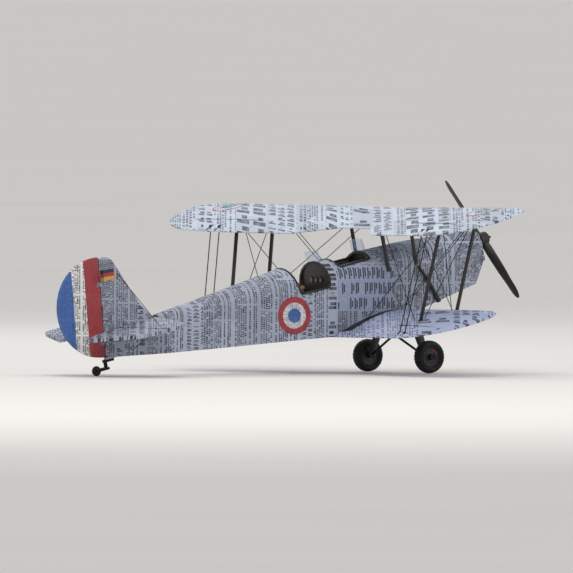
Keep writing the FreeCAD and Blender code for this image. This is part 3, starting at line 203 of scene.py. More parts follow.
class Finish:
    """A material under a name, with the Principled shader's sockets at hand."""

    def __init__(self, name, **constants):
        self.material = bpy.data.materials.new(name)
        self.material.use_nodes = True
        self.tree = self.material.node_tree
        self.shader = self.tree.nodes["Principled BSDF"]
        for socket, value in constants.items():
            self.shader.inputs[socket.replace("_", " ")].default_value = value

    def node(self, kind, settings=None, inputs=None, output=0):
        """Adds a node, gives it its settings, then its values and links, and returns an output."""
        node = self.tree.nodes.new("ShaderNode" + kind)
        for key, value in (settings or {}).items():
            if key == "stops":
                self.set_stops(node.color_ramp, value)
            else:
                setattr(node, key, value)
        for key, value in (inputs or {}).items():
            self.feed(node.inputs[key], value)
        return Sock(self, node.outputs[output])

    def set_stops(self, ramp, stops):
        """Steps of a ramp, each a position and a colour."""
        ramp.interpolation = "CONSTANT"
        while len(ramp.elements) < len(stops):
            ramp.elements.new(1.0)
        for element, (position, level) in zip(ramp.elements, stops):
            element.position, element.color = position, level

    def feed(self, socket, value):
        """A value or a link into a socket."""
        if isinstance(value, Sock):
            self.tree.links.new(value.socket, socket)
        else:
            socket.default_value = value

    def place(self, centre=(0, 0, 0), turn=(0, 0, 0), scale=(1, 1, 1)):
        """Object coordinates, measured from a centre along turned axes, as a vector."""
        here = self.node("TexCoord", output="Object")
        return self.node("Mapping", {"vector_type": "TEXTURE"},
                         {"Vector": here, "Location": centre, "Rotation": turn, "Scale": scale})

    def axes(self, vector):
        """The three parts of a vector."""
        first = self.node("SeparateXYZ", None, {0: vector})
        return [Sock(self, output) for output in first.socket.node.outputs]

    def chance(self, first, second, seed):
        """Three random numbers from 0 to 1 for every pair of whole numbers."""
        where = self.vector(first, second, seed)
        return self.axes(self.node("TexWhiteNoise", None, {"Vector": where}, output="Color"))

    def vector(self, x, y, z):
        return self.node("CombineXYZ", None, {0: x, 1: y, 2: z})

    def cloud(self, vector, scale, detail=3.0):
        """Soft noise, about so many lumps a metre."""
        inputs = {"Vector": vector, "Scale": scale, "Detail": detail}
        return self.node("TexNoise", None, inputs, "Fac")

    def mix(self, factor, first, second):
        """From one colour to another."""
        return self.node("Mix", {"data_type": "RGBA"}, {0: factor, 6: first, 7: second}, output=2)

    def relief(self, height, distance, strength=1.0):
        """Height in the surface, with its depth in metres at a height of 1."""
        inputs = {"Height": height, "Distance": distance, "Strength": strength}
        self.feed(self.shader.inputs["Normal"], self.node("Bump", None, inputs))

    def surface(self, **links):
        """Links into the shader's own sockets."""
        for socket, value in links.items():
            self.feed(self.shader.inputs[socket.replace("_", " ")], value)


def wear(names, finish):
    """Gives CAD nodes or pieces a finish."""
    for name in names:
        mesh = bpy.data.objects[name].data
        mesh.materials.clear()
        mesh.materials.append(finish.material)


def colour(red, green, blue):
    """A colour as seen on a screen, 0 to 255, as the linear numbers a shader takes."""
    shares = [c / 255 for c in (red, green, blue)]
    return tuple(c / 12.92 if c < 0.04 else ((c + 0.055) / 1.055) ** 2.4 for c in shares) + (1.0,)


print("shader tools ready")

# %% [markdown]
# ## The studio floor
# A plain pale floor still has a little unevenness; without it the contact shadows look pasted on.

# %% Floor finish
pale = Finish("pale_floor", Roughness=0.85)
spot = pale.cloud(pale.place(), 3.0)
pale.surface(Base_Color=pale.mix(spot, colour(226, 224, 221), colour(233, 231, 229)))
wear(["floor"], pale)
print("floor finish")

# %% [markdown]
# ## Newspaper
# The covering is old newspaper, tinted blue and pasted on in strips.  An image of a page would be the
# easy way, but a page belongs to its publisher, and a picture fixes the sharpness.  So the print is
# worked out: rows are cut into cells, and chance decides which cells are marked and how.  Small
# print is a row of blots.  Large type is pairs of unequal open strokes, which read as type from a
# distance and spell nothing close up.  A ramp with hard steps plays the part of the make-up sheet:
# across the model it says, strip by strip, how tall the lines are and how long and heavy the marks.

# %% Rows of greeked print
INK = colour(34, 35, 44)
RAMP_SPAN = 0.5           # metres covered by a make-up ramp
RAMP_ZERO = 0.25          # where the middle of the model lies on it
SMALL_PRINT = 3.0         # lines closer than this many mm are set in small print
COLUMN = 27.0             # width of a column of type, in mm
GUTTER = 0.045            # the share of it left white at its edge
LINE_MOST, MARK_MOST = 20.0, 60.0         # mm that a full colour channel of the ramp stands for
KEY = 9000.0              # makes a whole number of a line's height, to tell strips apart
RULE = 0.4                # width of the rule at the edge of a strip, in mm


def print_rows(finish, along, across, mark, line, weight, seed):
    """Ink of rows of marks: 1 on a mark and 0 between.  Sizes are in metres."""
    row = (across / line).floor()
    y = (across / line).part()
    start = finish.chance(row, 0.5, seed)
    shifted = along / mark + start[0] * 60.0
    x = shifted.part()
    dice = finish.chance(shifted.floor(), row, seed)
    small = (line < SMALL_PRINT * MM) if isinstance(line, Sock) else 0.0
    blot = (x < weight * (dice[0] * 0.5 + 0.85)) * (abs(y - 0.5) < 0.43 - dice[1] * 0.16)
    first = x < weight * 0.44
    low = abs(y - (dice[1] * 0.3 + 0.35)) < dice[0] * 0.2 + 0.14
    second = (x > weight * 0.56) * (x < weight) * low
    large = (first + second) * (abs(y - 0.5) < 0.38)
    blank = (dice[2] > 0.15) * (1.0 - small * (start[1] < 0.07))
    return (small * blot + (1.0 - small) * large) * blank


def make_up(finish, position, strips):
    """Place inside the strip at a position, and that strip's line, mark and weight.

    A strip is (start, line, mark, weight), in mm but for the weight, which is a share.
    """
    stops = []
    for start, line, mark, weight in strips:
        share = (start * MM + RAMP_ZERO) / RAMP_SPAN
        stops.append((share, (share, line / LINE_MOST, mark / MARK_MOST, weight)))
    share = (position + RAMP_ZERO) / RAMP_SPAN
    ramp = finish.node("ValToRGB", {"stops": stops}, {0: share})
    start, line, mark = finish.axes(ramp)
    weight = Sock(finish, ramp.socket.node.outputs["Alpha"])
    inside = (share - start) * RAMP_SPAN
    return inside, line * (LINE_MOST * MM), mark * (MARK_MOST * MM), weight


def newsprint(name, across, along, strips, paper, deep, seed, paint=None, ink=INK):
    """Tinted newspaper.  across and along are functions that measure a place on a finish."""
    finish = Finish(name, Roughness=0.7, Coat_Weight=0.08, Coat_Roughness=0.35)
    here = finish.place()
    inside, line, mark, weight = make_up(finish, across(finish), strips)
    down = along(finish)
    marks = print_rows(finish, down, inside, mark, line, weight, seed)
    strip = (line * KEY).floor()
    column = down / (COLUMN * MM) + finish.chance(strip, 0.0, seed)[0]
    gutter = column.part() < GUTTER
    tone = finish.chance(column.floor(), strip, seed)[1]
    blotch = finish.cloud(here, 38.0, 4.0)
    fibre = finish.cloud(here, 900.0, 2.0)
    crease = finish.node("TexVoronoi", {"feature": "DISTANCE_TO_EDGE"},
                         {"Vector": here, "Scale": 46.0})
    ground = finish.mix(blotch, paper, deep)
    ground = finish.mix(tone * 0.3, ground, ink)
    ground = finish.mix(fibre * 0.25, ground, colour(225, 228, 235))
    worn = (finish.cloud(here, 160.0, 3.0) - 0.25) * 3.2
    strength = worn.math("MAXIMUM", 0.72).math("MINIMUM", 0.98)
    rule = inside < RULE * MM
    if paint is not None:
        ground, strength = paint(finish, ground, strength)
    cover = (marks * (1.0 - gutter)).math("MAXIMUM", rule * 0.7)
    finish.surface(Base_Color=finish.mix(cover * strength, ground, ink),
                   Roughness=blotch * 0.25 + 0.55)
    folds = crease.math("MINIMUM", 0.06) * 6.0 + blotch * 0.8 + fibre * 0.15 - rule * 0.5
    finish.relief(folds, 0.0005, 0.55)
    return finish


print("newspaper tools ready")

# %% [markdown]
# ## Paper on the wings
# The strips cross the wings on the bias, at an angle to the chord, as a modeller lays them to take
# the paper round a cambered rib without creases.  The marks on them step along the chord.

# %% Wing paper
LAY = math.radians(33.5)  # from the chord to the square of a strip


def forward(finish):
    """How far forward a point lies."""
    return finish.axes(finish.place())[0]


def upward(finish):
    """How high a point lies."""
    return finish.axes(finish.place())[2]


def bias(finish):
    """Across the strips of the wings."""
    return finish.axes(finish.place(turn=(0, 0, -LAY)))[0]


# each strip: where it starts, the height of a line and the length of a mark in mm, and the weight
UPPER_STRIPS = ((-250, 1.7, 2.6, 0.62), (-146, 3.6, 4.0, 0.6), (-139, 1.5, 2.2, 0.66),
                (-118, 1.9, 2.8, 0.6), (-96, 5.0, 6.0, 0.6), (-85, 1.6, 2.4, 0.64),
                (-66, 2.3, 3.4, 0.6), (-53, 5.2, 8.0, 0.66), (-42, 1.7, 2.4, 0.6),
                (-28, 11.0, 12.0, 0.78), (-6, 6.2, 5.0, 0.66), (12.5, 2.6, 3.6, 0.6),
                (20, 1.6, 2.2, 0.66), (32, 9.6, 10.0, 0.7), (42, 3.4, 5.6, 0.5),
                (50, 14.0, 18.0, 0.4), (64, 6.7, 6.0, 0.8), (77.5, 2.4, 3.6, 0.55),
                (85, 10.8, 16.0, 0.92), (106.6, 9.0, 13.0, 0.8), (115, 1.8, 3.0, 0.6),
                (136, 6.0, 8.0, 0.7), (149, 1.7, 2.4, 0.6))
upper_paper = newsprint("upper_wing_paper", bias, forward, UPPER_STRIPS,
                        colour(206, 220, 238), colour(176, 190, 212), 3.0, ink=colour(62, 66, 80))
wear(["upper_skin_left", "upper_skin_right", "upper_centre_skin", "upper_aileron_left",
      "upper_aileron_right"], upper_paper)
LOWER_STRIPS = ((-250, 1.7, 2.6, 0.62), (-80, 4.8, 6.0, 0.6), (-60, 1.6, 2.4, 0.64),
                (-20, 2.2, 3.4, 0.6), (0, 1.5, 2.2, 0.66), (40, 1.6, 2.4, 0.66),
                (57, 3.0, 4.4, 0.6), (70, 1.6, 2.4, 0.62), (92, 12.0, 20.0, 0.4),
                (116, 6.4, 7.0, 0.72), (135, 2.2, 3.6, 0.6))
lower_paper = newsprint("lower_wing_paper", bias, forward, LOWER_STRIPS,
                        colour(184, 196, 232), colour(146, 158, 200), 11.0, ink=colour(48, 50, 68))
wear(["lower_skin_left", "lower_skin_right", "lower_aileron_left", "lower_aileron_right"],
     lower_paper)
print("wing paper on 9 nodes")

# %% [markdown]
# ## Paper on the body
# The side panels, decks and cowl take upright strips, apart from a block of three level headline
# lines beside the cockpits.

# %% Body paper
BLOCK_BACK, BLOCK_FRONT = 36.9, 82.6      # of the headline block, in mm along the floor
BLOCK_FOOT, BLOCK_LINE, BLOCK_ROWS = 41.8, 10.1, 3
BODY_STRIPS = ((-250, 1.6, 1.1, 0.66), (-141, 2.6, 1.8, 0.6), (-131.5, 8.0, 3.4, 0.72),
               (-123, 1.5, 1.1, 0.7), (-113, 6.2, 3.0, 0.66), (-106, 1.6, 1.1, 0.66),
               (-92, 1.3, 1.0, 0.74), (-78, 5.6, 2.3, 0.66), (-66, 1.8, 1.3, 0.64),
               (-57.7, 1.4, 1.0, 0.72), (-40, 1.6, 1.2, 0.66), (-21.7, 1.8, 1.4, 0.6),
               (-8, 1.4, 1.0, 0.72), (8.8, 4.6, 3.0, 0.6), (19, 1.5, 1.1, 0.7),
               (28.9, 8.0, 6.4, 0.74), (36.9, 1.6, 1.2, 0.7), (83, 1.3, 1.0, 0.8),
               (104, 1.7, 1.1, 0.78), (118, 1.3, 1.0, 0.82))


def headline(finish, ground, faded):
    """The level block of headline lines, inked straight onto the ground."""
    x, z = forward(finish), upward(finish)
    rise = z - BLOCK_FOOT * MM
    block = (x > BLOCK_BACK * MM) * (x < BLOCK_FRONT * MM)
    block = block * (rise > 0.0) * (rise < BLOCK_LINE * BLOCK_ROWS * MM)
    bars = print_rows(finish, x, rise, 3.7 * MM, BLOCK_LINE * MM, 0.7, 5.0)
    fine = print_rows(finish, x, rise, 1.1 * MM, 1.5 * MM, 0.7, 7.0)
    clear = finish.mix(block, ground, colour(152, 162, 188))
    clear = finish.mix(block * fine * 0.25, clear, INK)
    inked = finish.mix(block * bars * 0.88, clear, INK)
    return inked, faded * (1.0 - block)


body_paper = newsprint("body_paper", forward, upward, BODY_STRIPS, colour(174, 184, 208),
                       colour(128, 137, 160), 23.0, headline)
wear(["side_panel_left", "side_panel_right", "belly_panel", "front_decking", "turtle_deck",
      "cowl_upper", "cowl_lower", "nose_plate", "firewall"], body_paper)
print("body paper on 9 nodes")

# %% [markdown]
# ## Tail surfaces
# The rudder carries three upright stripes, painted over the print so that the type still shows.  How
# far a point lies behind the hinge decides its stripe; the hinge is the rudder's own joint.

# %% Tail paper
TAIL_STRIPS = ((-250, 1.6, 1.2, 0.66), (-128, 1.5, 1.1, 0.7), (-112, 6.0, 3.4, 0.66),
               (-104, 1.6, 1.2, 0.7))
tail_paper = newsprint("tail_paper", forward, upward, TAIL_STRIPS, colour(172, 178, 200),
                       colour(134, 140, 160), 31.0)
wear(["fin", "stern_post"], tail_paper)
PLANE_STRIPS = ((-250, 1.7, 2.6, 0.7), (-146, 6.5, 4.2, 0.94), (-106, 1.7, 2.6, 0.7),
                (-98, 6.0, 4.0, 0.9), (-84, 1.7, 2.6, 0.66))
flat_tail = newsprint("tailplane_paper", bias, forward, PLANE_STRIPS, colour(170, 178, 204),
                      colour(134, 142, 170), 37.0)
wear(["tailplane", "elevator_left", "elevator_right"], flat_tail)
hinge = next(joint for joint in frame["joints"] if joint["name"] == "rudder_swing")
hinge_place, hinge_way = Vector(hinge["pos_m"]), Vector(hinge["axis"])
hinge_lean = math.atan2(hinge_way.x, hinge_way.z)
RED_WIDTH, WHITE_WIDTH = 11.0, 10.0       # stripes, in mm behind the hinge


def stripes(finish, ground, faded):
    """Red, white and blue behind the hinge."""
    behind = finish.axes(finish.place(tuple(hinge_place), (0, hinge_lean, 0)))[0] * -1.0
    blue = behind > (RED_WIDTH + WHITE_WIDTH) * MM
    red = behind < RED_WIDTH * MM
    pale_paper = finish.mix(0.75, ground, colour(232, 230, 226))
    striped = finish.mix(blue * 0.94, pale_paper, colour(8, 84, 164))
    striped = finish.mix(red * 0.95, striped, colour(158, 10, 28))
    return striped, faded * (1.0 - (blue + red) * 0.5)


RUDDER_STRIPS = ((-250, 1.6, 1.2, 0.66), (-164, 1.5, 1.1, 0.7))
rudder_paper = newsprint("rudder_paper", forward, upward, RUDDER_STRIPS, colour(190, 194, 206),
                         colour(150, 154, 168), 41.0, stripes)
wear(["rudder"], rudder_paper)
print("tail paper; hinge leans", round(math.degrees(hinge_lean), 2), "degrees")

# %% [markdown]
# ## Painted wood, bare wood, metal, rubber and plastic
# Struts, legs and propeller are wood under satin black paint, so a faint grain shows and it is
# rubbed in places.  The bare wood inside has growth lines along the aeroplane.  Steel has fine
# scratches, rubber a dusty bloom.

# %% Hard finishes
BRUSHING = (1 / 60, 1 / 60, 1 / 900)      # metres a brush mark spans along each axis


def satin(name, roughness):
    """Satin paint without its colour yet: the finish, its brush marks and its rubbed places."""
    finish = Finish(name, Specular_IOR_Level=0.45)
    here = finish.place()
    streak = finish.cloud(finish.place(scale=BRUSHING), 1.0, 4.0)
    scuff = (finish.cloud(here, 240.0, 5.0) - 0.62) * 7.0
    scuff = scuff.math("MAXIMUM", 0.0).math("MINIMUM", 1.0)
    finish.surface(Roughness=streak * 0.2 + roughness)
    finish.relief(streak + scuff * -0.4, 0.00012, 0.6)
    return finish, streak, scuff


def painted(name, base, scuffed, roughness):
    """Satin paint over wood, paler along the grain and where it is rubbed."""
    finish, streak, scuff = satin(name, roughness)
    brushed = finish.mix(streak, base, scuffed)
    finish.surface(Base_Color=finish.mix(scuff * 0.7, brushed, scuffed))
    return finish


def grained(name, light, dark):
    """Bare wood with growth lines."""
    finish = Finish(name, Roughness=0.65)
    lines = finish.cloud(finish.place(scale=(0.02, 0.0009, 0.0009)), 1.0, 6.0)
    pores = finish.cloud(finish.place(scale=(0.004, 0.0004, 0.0004)), 1.0, 2.0)
    finish.surface(Base_Color=finish.mix(lines * 0.8 + pores * 0.2, light, dark),
                   Roughness=pores * 0.2 + 0.55)
    finish.relief(lines + pores * 0.5, 0.0001, 0.7)
    return finish


def metal(name, base, dull, roughness, metallic=0.85):
    """Drawn or turned metal with a brushed surface and a little tarnish."""
    finish = Finish(name, Metallic=metallic)
    here = finish.place()
    brushed = finish.cloud(finish.place(scale=(0.0006, 0.006, 0.0006)), 1.0, 2.0)
    stain = finish.cloud(here, 140.0, 4.0)
    finish.surface(Base_Color=finish.mix(stain, base, dull), Roughness=brushed * 0.25 + roughness)
    finish.relief(brushed, 0.00004, 0.5)
    return finish


def rubbery(name, base, dusty):
    """Moulded rubber with a dusty bloom."""
    finish = Finish(name, Specular_IOR_Level=0.35)
    here = finish.place()
    dust = ((finish.cloud(here, 90.0, 5.0) - 0.45) * 2.5).math("MAXIMUM", 0.0).math("MINIMUM", 1.0)
    skin = finish.cloud(here, 1500.0, 2.0)
    finish.surface(Base_Color=finish.mix(dust * 0.5, base, dusty), Roughness=dust * 0.25 + 0.5)
    finish.relief(skin + dust * 0.4, 0.00006, 0.6)
    return finish


black_wood = painted("black_painted_wood", colour(22, 21, 23), colour(48, 43, 41), 0.38)
bare_wood = grained("bare_wood", colour(206, 172, 126), colour(164, 122, 80))
dark_steel = metal("dark_steel", colour(44, 44, 48), colour(26, 25, 27), 0.35)
wire_steel = metal("rigging_wire", colour(34, 34, 38), colour(20, 20, 22), 0.4, 0.6)
yellow_brass = metal("yellow_brass", colour(196, 160, 92), colour(140, 104, 52), 0.28)
tyre_rubber = rubbery("tyre_rubber", colour(20, 19, 20), colour(52, 49, 48))
padded_rim = rubbery("cockpit_rim_leather", colour(34, 27, 24), colour(70, 56, 48))
wear(["interplane_struts_left", "interplane_struts_right", "cabane_struts", "landing_legs",
      "propeller", "instrument_panels", "exhaust_pipe"], black_wood)
wear(["formers", "longerons", "cockpit_floor", "front_seat", "rear_seat", "wing_spars",
      "wing_ribs"], bare_wood)
wear(["half_axles", "axle_bracket", "propeller_shaft", "propeller_hub_plate", "elevator_tube",
      "tail_leg", "tail_fork", "wheel_caps"], dark_steel)
wear(["flying_wires", "landing_wires", "bracing_wires", "hinge_pins", "aileron_links_left",
      "aileron_links_right"], wire_steel)
wear(["propeller_bushes"], yellow_brass)
wear(["coamings"], padded_rim)

# %% [markdown]
# ## Tools for pieces made by hand
# The pieces below are too small or too thin to matter to the CAD model.  Each starts as a primitive
# at the origin, is shaped in edit mode, and is then moved to its place inside its own mesh, so that
# its object stays at the origin like a CAD node.

# %% Modelling helpers
def begin():
    """Deselects everything, so that the next operator acts on nothing old."""
    bpy.ops.object.select_all(action="DESELECT")


def edit(piece, wanted):
    """Edit mode, with the faces selected whose centre and normal pass a test."""
    bpy.ops.object.mode_set(mode="EDIT")
    bpy.ops.mesh.select_mode(type="FACE")
    bpy.ops.mesh.select_all(action="DESELECT")
    bpy.ops.object.mode_set(mode="OBJECT")
    for face in piece.data.polygons:
        face.select = wanted(face.center, face.normal)
    bpy.ops.object.mode_set(mode="EDIT")


def settle(name, piece, place, body, finish):
    """Moves a finished piece's mesh to its place, names and paints it, and lets it ride."""
    bpy.ops.object.mode_set(mode="OBJECT")
    bpy.ops.object.shade_smooth_by_angle(angle=math.radians(38))
    piece.data.transform(place)
    piece.name = piece.data.name = name
    piece.data.materials.append(finish.material)
    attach(piece, body)
    return piece


def middle(node):
    """The middle of a node's box."""
    low, high = (Vector(corner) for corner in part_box(node))
    return (low + high) / 2


ON_AXLE = Matrix.Rotation(math.radians(90), 4, "X")     # a wheel is made flat and stood up
print("modelling tools ready")

# %% [markdown]
# ## Tyres
# A model tyre is a soft ring with blocks of tread and a fine groove moulded into each side.  A torus
# squeezed to an oval section gives the ring, and insets along its crown cut the tread.

# %% Tyres
TYRE, TYRE_WIDTH, RIM = 11.0, 8.4, 6.4          # mm; the rim is the seat on the hub
SMALL_TYRE, SMALL_WIDTH, SMALL_RIM = 3.4, 2.2, 1.9
SEAT_DEPTH, SMALL_DEPTH = 0.8, 0.3              # how far an oval ring sinks into its rim


def make_tyre(name, node, body, radius, width, seat, blocks):
    """An oval ring with grooves across its crown and round its sides."""
    begin()
    thick = (radius - seat) / 2
    bpy.ops.mesh.primitive_torus_add(major_segments=blocks * 3, minor_segments=28,
                                     major_radius=(radius - thick) * MM, minor_radius=thick * MM)
    ring = bpy.context.object
    bpy.ops.object.mode_set(mode="EDIT")
    bpy.ops.mesh.select_all(action="SELECT")
    bpy.ops.transform.resize(value=(1, 1, width / 2 / thick))
    edit(ring, lambda c, n: n.xy.length > 0.6 and n.xy.dot(c.xy) > 0
         and round(math.atan2(c.y, c.x) / math.tau * blocks * 3 - 0.5) % 3 == 0)
    bpy.ops.mesh.inset(thickness=0.02 * width * MM, depth=-0.035 * width * MM)
    side = 0.47 * width * MM
    edit(ring, lambda c, n: abs(c.z) > side and c.xy.length < (radius - thick) * MM)
    bpy.ops.mesh.inset(thickness=0.012 * width * MM, depth=-0.03 * width * MM)
    on_wheel = Matrix.Translation(middle(node)) @ ON_AXLE
    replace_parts(settle(name, ring, on_wheel, body, tyre_rubber), node)


for side in ("left", "right"):
    make_tyre(f"moulded_tyre_{side}", f"tyre_{side}", f"wheel_{side}", TYRE, TYRE_WIDTH,
              RIM - SEAT_DEPTH, 26)
make_tyre("moulded_tail_tyre", "tail_wheel", "tail_wheel", SMALL_TYRE, SMALL_WIDTH,
          SMALL_RIM - SMALL_DEPTH, 16)
print("three tyres")

# %% [markdown]
# ## Hubs
# Each hub is a turned disc with steps, bored for its axle.  Insets with a depth step both faces of a
# cylinder at once; the last faces are taken out and their two edges bridged to make the bore.  The
# enamel carries a short red arc, a balance mark.

# %% Hubs
HUB_WIDTH, HUB_BORE = 6.0, 1.1                  # mm
SMALL_HUB_WIDTH, SMALL_BORE, SMALL_SCALE = 1.7, 0.48, 0.28
# from the rim inwards: how far in, and how far out of the face
HUB_STEPS = ((0.5, 0.0), (0.25, -0.8), (1.0, -0.1), (0.2, 0.3), (0.35, 0.0), (0.2, -0.35),
             (1.0, 0.15))


def enamel(name, centre, reach):
    """Black enamel with a red arc at a distance from the wheel's middle."""
    finish, _, _ = satin(name, 0.3)
    x, _, z = finish.axes(finish.place(tuple(centre)))
    out = (x * x + z * z).math("SQRT")
    arc = (abs(out - reach * MM) < 0.35 * MM) * (x > 0.1 * reach * MM) * (z > 0.25 * reach * MM)
    dust = finish.cloud(finish.place(), 400.0)
    black = finish.mix(dust, colour(24, 24, 27), colour(46, 46, 50))
    finish.surface(Base_Color=finish.mix(arc, black, colour(176, 30, 26)))
    return finish


def make_hub(name, centre, body, radius, width, bore, scale):
    """A stepped disc with a bore."""
    begin()
    bpy.ops.mesh.primitive_cylinder_add(vertices=72, radius=radius * MM, depth=width * MM)
    turned = bpy.context.object
    edit(turned, lambda c, n: abs(n.z) > 0.9)
    left = radius
    for across, rise in HUB_STEPS:
        bpy.ops.mesh.inset(thickness=across * scale * MM, depth=rise * scale * MM)
        left -= across * scale
    bpy.ops.mesh.inset(thickness=(left - bore) * MM, depth=0)
    bpy.ops.mesh.delete(type="ONLY_FACE")
    bpy.ops.object.mode_set(mode="OBJECT")
    for edge in turned.data.edges:
        ends = [turned.data.vertices[i].co for i in edge.vertices]
        edge.select = all(end.xy.length < (bore + 0.05) * MM for end in ends)
    bpy.ops.object.mode_set(mode="EDIT")
    bpy.ops.mesh.select_mode(type="EDGE")
    bpy.ops.mesh.bridge_edge_loops()
    bpy.ops.mesh.select_all(action="SELECT")
    bpy.ops.mesh.normals_make_consistent(inside=False)
    bpy.ops.object.mode_set(mode="OBJECT")
    bevel = turned.modifiers.new("bevel", "BEVEL")
    bevel.width, bevel.segments, bevel.limit_method = 0.08 * scale * MM, 2, "ANGLE"
    bpy.ops.object.modifier_apply(modifier="bevel")
    finish = enamel(name + "_enamel", centre, radius * 0.74)
    return settle(name, turned, Matrix.Translation(centre) @ ON_AXLE, body, finish)


for side in ("left", "right"):
    hub = make_hub(f"turned_hub_{side}", middle(f"wheel_hub_{side}"), f"wheel_{side}", RIM,
                   HUB_WIDTH, HUB_BORE, 1.0)
    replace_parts(hub, f"wheel_hub_{side}")
make_hub("turned_tail_hub", middle("tail_wheel"), "tail_wheel", SMALL_RIM, SMALL_HUB_WIDTH,
         SMALL_BORE, SMALL_SCALE)
print("three hubs")

# %% [markdown]
# ## Bolts of the propeller
# Six hexagon heads hold the hub plate.  One is modelled and copied round the shaft.

# %% Propeller bolts
PLATE_FACE = 88.8         # front of the hub plate, ahead of the datum, in mm
BOLT_CIRCLE, BOLT_HEAD, BOLT_TALL, BOLTS = 2.35, 0.62, 0.6, 6
begin()
bpy.ops.mesh.primitive_cylinder_add(vertices=6, radius=BOLT_HEAD * MM, depth=BOLT_TALL * MM)
bolt = bpy.context.object
edit(bolt, lambda c, n: n.z > 0.9)
bpy.ops.mesh.inset(thickness=0.12 * MM, depth=0.06 * MM)
bpy.ops.mesh.inset(thickness=0.18 * MM, depth=-0.08 * MM)
bpy.ops.object.mode_set(mode="OBJECT")
bevel = bolt.modifiers.new("bevel", "BEVEL")
bevel.width, bevel.segments = 0.04 * MM, 2
bpy.ops.object.modifier_apply(modifier="bevel")
FACING_FORWARD = Matrix.Rotation(math.radians(90), 4, "Y")
for i in range(BOLTS):
    head = bpy.data.objects.new(f"propeller_bolt_{i + 1}", bolt.data.copy())
    bpy.context.scene.collection.objects.link(head)
    begin()
    head.select_set(True)
    bpy.context.view_layer.objects.active = head
    turn = math.tau * i / BOLTS
    spot = Vector((PLATE_FACE + BOLT_TALL / 2, BOLT_CIRCLE * math.cos(turn),
                   BOLT_CIRCLE * math.sin(turn))) * MM
    settle(head.name, head, stance @ Matrix.Translation(spot) @ FACING_FORWARD, "propeller",
           yellow_brass)
bpy.data.objects.remove(bolt)
print(BOLTS, "bolt heads")

# %% [markdown]
# ## Paper laid over paper
# Roundels, a small striped patch and the dark walkways are cut from thin paper and pasted on.  Each
# is a flat outline that a Shrinkwrap modifier presses onto the covering and Solidify makes 0.1 mm
# thick.  The covering is a merged copy of the CAD nodes under it, so that a sheet can cross a seam.

# %% Pasting
SHEET, GLUE = 0.1, 0.08   # thickness, and the gap under it, in mm


def cover_of(*names):
    """A merged copy of some CAD nodes, to press sheets onto."""
    begin()
    for name in names:
        copy = bpy.data.objects.new("cover", bpy.data.objects[name].data.copy())
        bpy.context.scene.collection.objects.link(copy)
        copy.select_set(True)
        bpy.context.view_layer.objects.active = copy
    bpy.ops.object.join()
    cover = bpy.context.object
    bpy.ops.object.mode_set(mode="EDIT")
    bpy.ops.mesh.select_all(action="SELECT")
    bpy.ops.mesh.remove_doubles(threshold=0.00001)
    bpy.ops.object.mode_set(mode="OBJECT")
    return cover


def paste(name, outline, place, axis, cover, finish):
    """Presses a flat outline onto a cover along a row axis, 0 to 2, and gives it a thickness."""
    begin()
    outline.select_set(True)
    bpy.context.view_layer.objects.active = outline
    outline.data.transform(place)
    press = outline.modifiers.new("press", "SHRINKWRAP")
    press.target, press.wrap_method = cover, "PROJECT"
    press.use_project_x, press.use_project_y, press.use_project_z = (axis == i for i in range(3))
    press.use_negative_direction = press.use_positive_direction = True
    press.offset = GLUE * MM
    bpy.ops.object.modifier_apply(modifier="press")
    thick = outline.modifiers.new("thick", "SOLIDIFY")
    thick.thickness, thick.offset = SHEET * MM, 1.0
    bpy.ops.object.modifier_apply(modifier="thick")
    settle(name, outline, Matrix.Identity(4), "airframe", finish)


def disc(radius):
    """A flat disc with rings of faces to bend."""
    begin()
    bpy.ops.mesh.primitive_circle_add(vertices=64, radius=radius * MM, fill_type="NGON")
    piece = bpy.context.object
    edit(piece, lambda c, n: True)
    for _ in range(7):
        bpy.ops.mesh.inset(thickness=radius / 8 * MM, depth=0)
    bpy.ops.object.mode_set(mode="OBJECT")
    return piece


def sheet(length, width, front=None):
    """A flat sheet from the origin, along X and across Y; front is its width at its far end."""
    begin()
    bpy.ops.mesh.primitive_plane_add(size=1, location=(0.5, 0.5, 0))
    piece = bpy.context.object
    piece.data.transform(piece.matrix_world)
    piece.matrix_world = Matrix.Identity(4)
    for vertex in piece.data.vertices:
        reach = front if front is not None and vertex.co.x > 0.5 else width
        vertex.co = Vector((vertex.co.x * length, vertex.co.y * reach, 0)) * MM
    bpy.ops.object.mode_set(mode="EDIT")
    bpy.ops.mesh.select_all(action="SELECT")
    bpy.ops.mesh.subdivide(number_cuts=19)
    bpy.ops.object.mode_set(mode="OBJECT")
    return piece


print("pasting tools ready")

# %% [markdown]
# ## Roundels
# Each side of the body and the top of each upper wing wear a roundel.  Its bands are painted over
# print of their own, by distance from the centre, so the sheet stays one flat disc.

# %% Roundels
# from the outside in: the radius of a band in mm, and its colour
BODY_ROUNDEL = ((12.5, colour(160, 14, 30)), (8.6, colour(206, 208, 214)),
                (4.8, colour(24, 92, 164)))
WING_ROUNDEL = ((11.6, colour(176, 70, 84)), (10.6, colour(196, 206, 220)),
                (5.4, colour(52, 120, 124)), (3.6, colour(140, 180, 190)))


def bands(centre, rings, upright):
    """Paint of round bands about a centre, from the outside in."""

    def paint(finish, ground, strength):
        x, y, z = finish.axes(finish.place(tuple(centre)))
        second = z if upright else y
        out = (x * x + second * second).math("SQRT")
        for radius, tint in rings:
            ground = finish.mix((out < radius * MM) * 0.93, ground, tint)
        return ground, strength * 0.62
    return paint


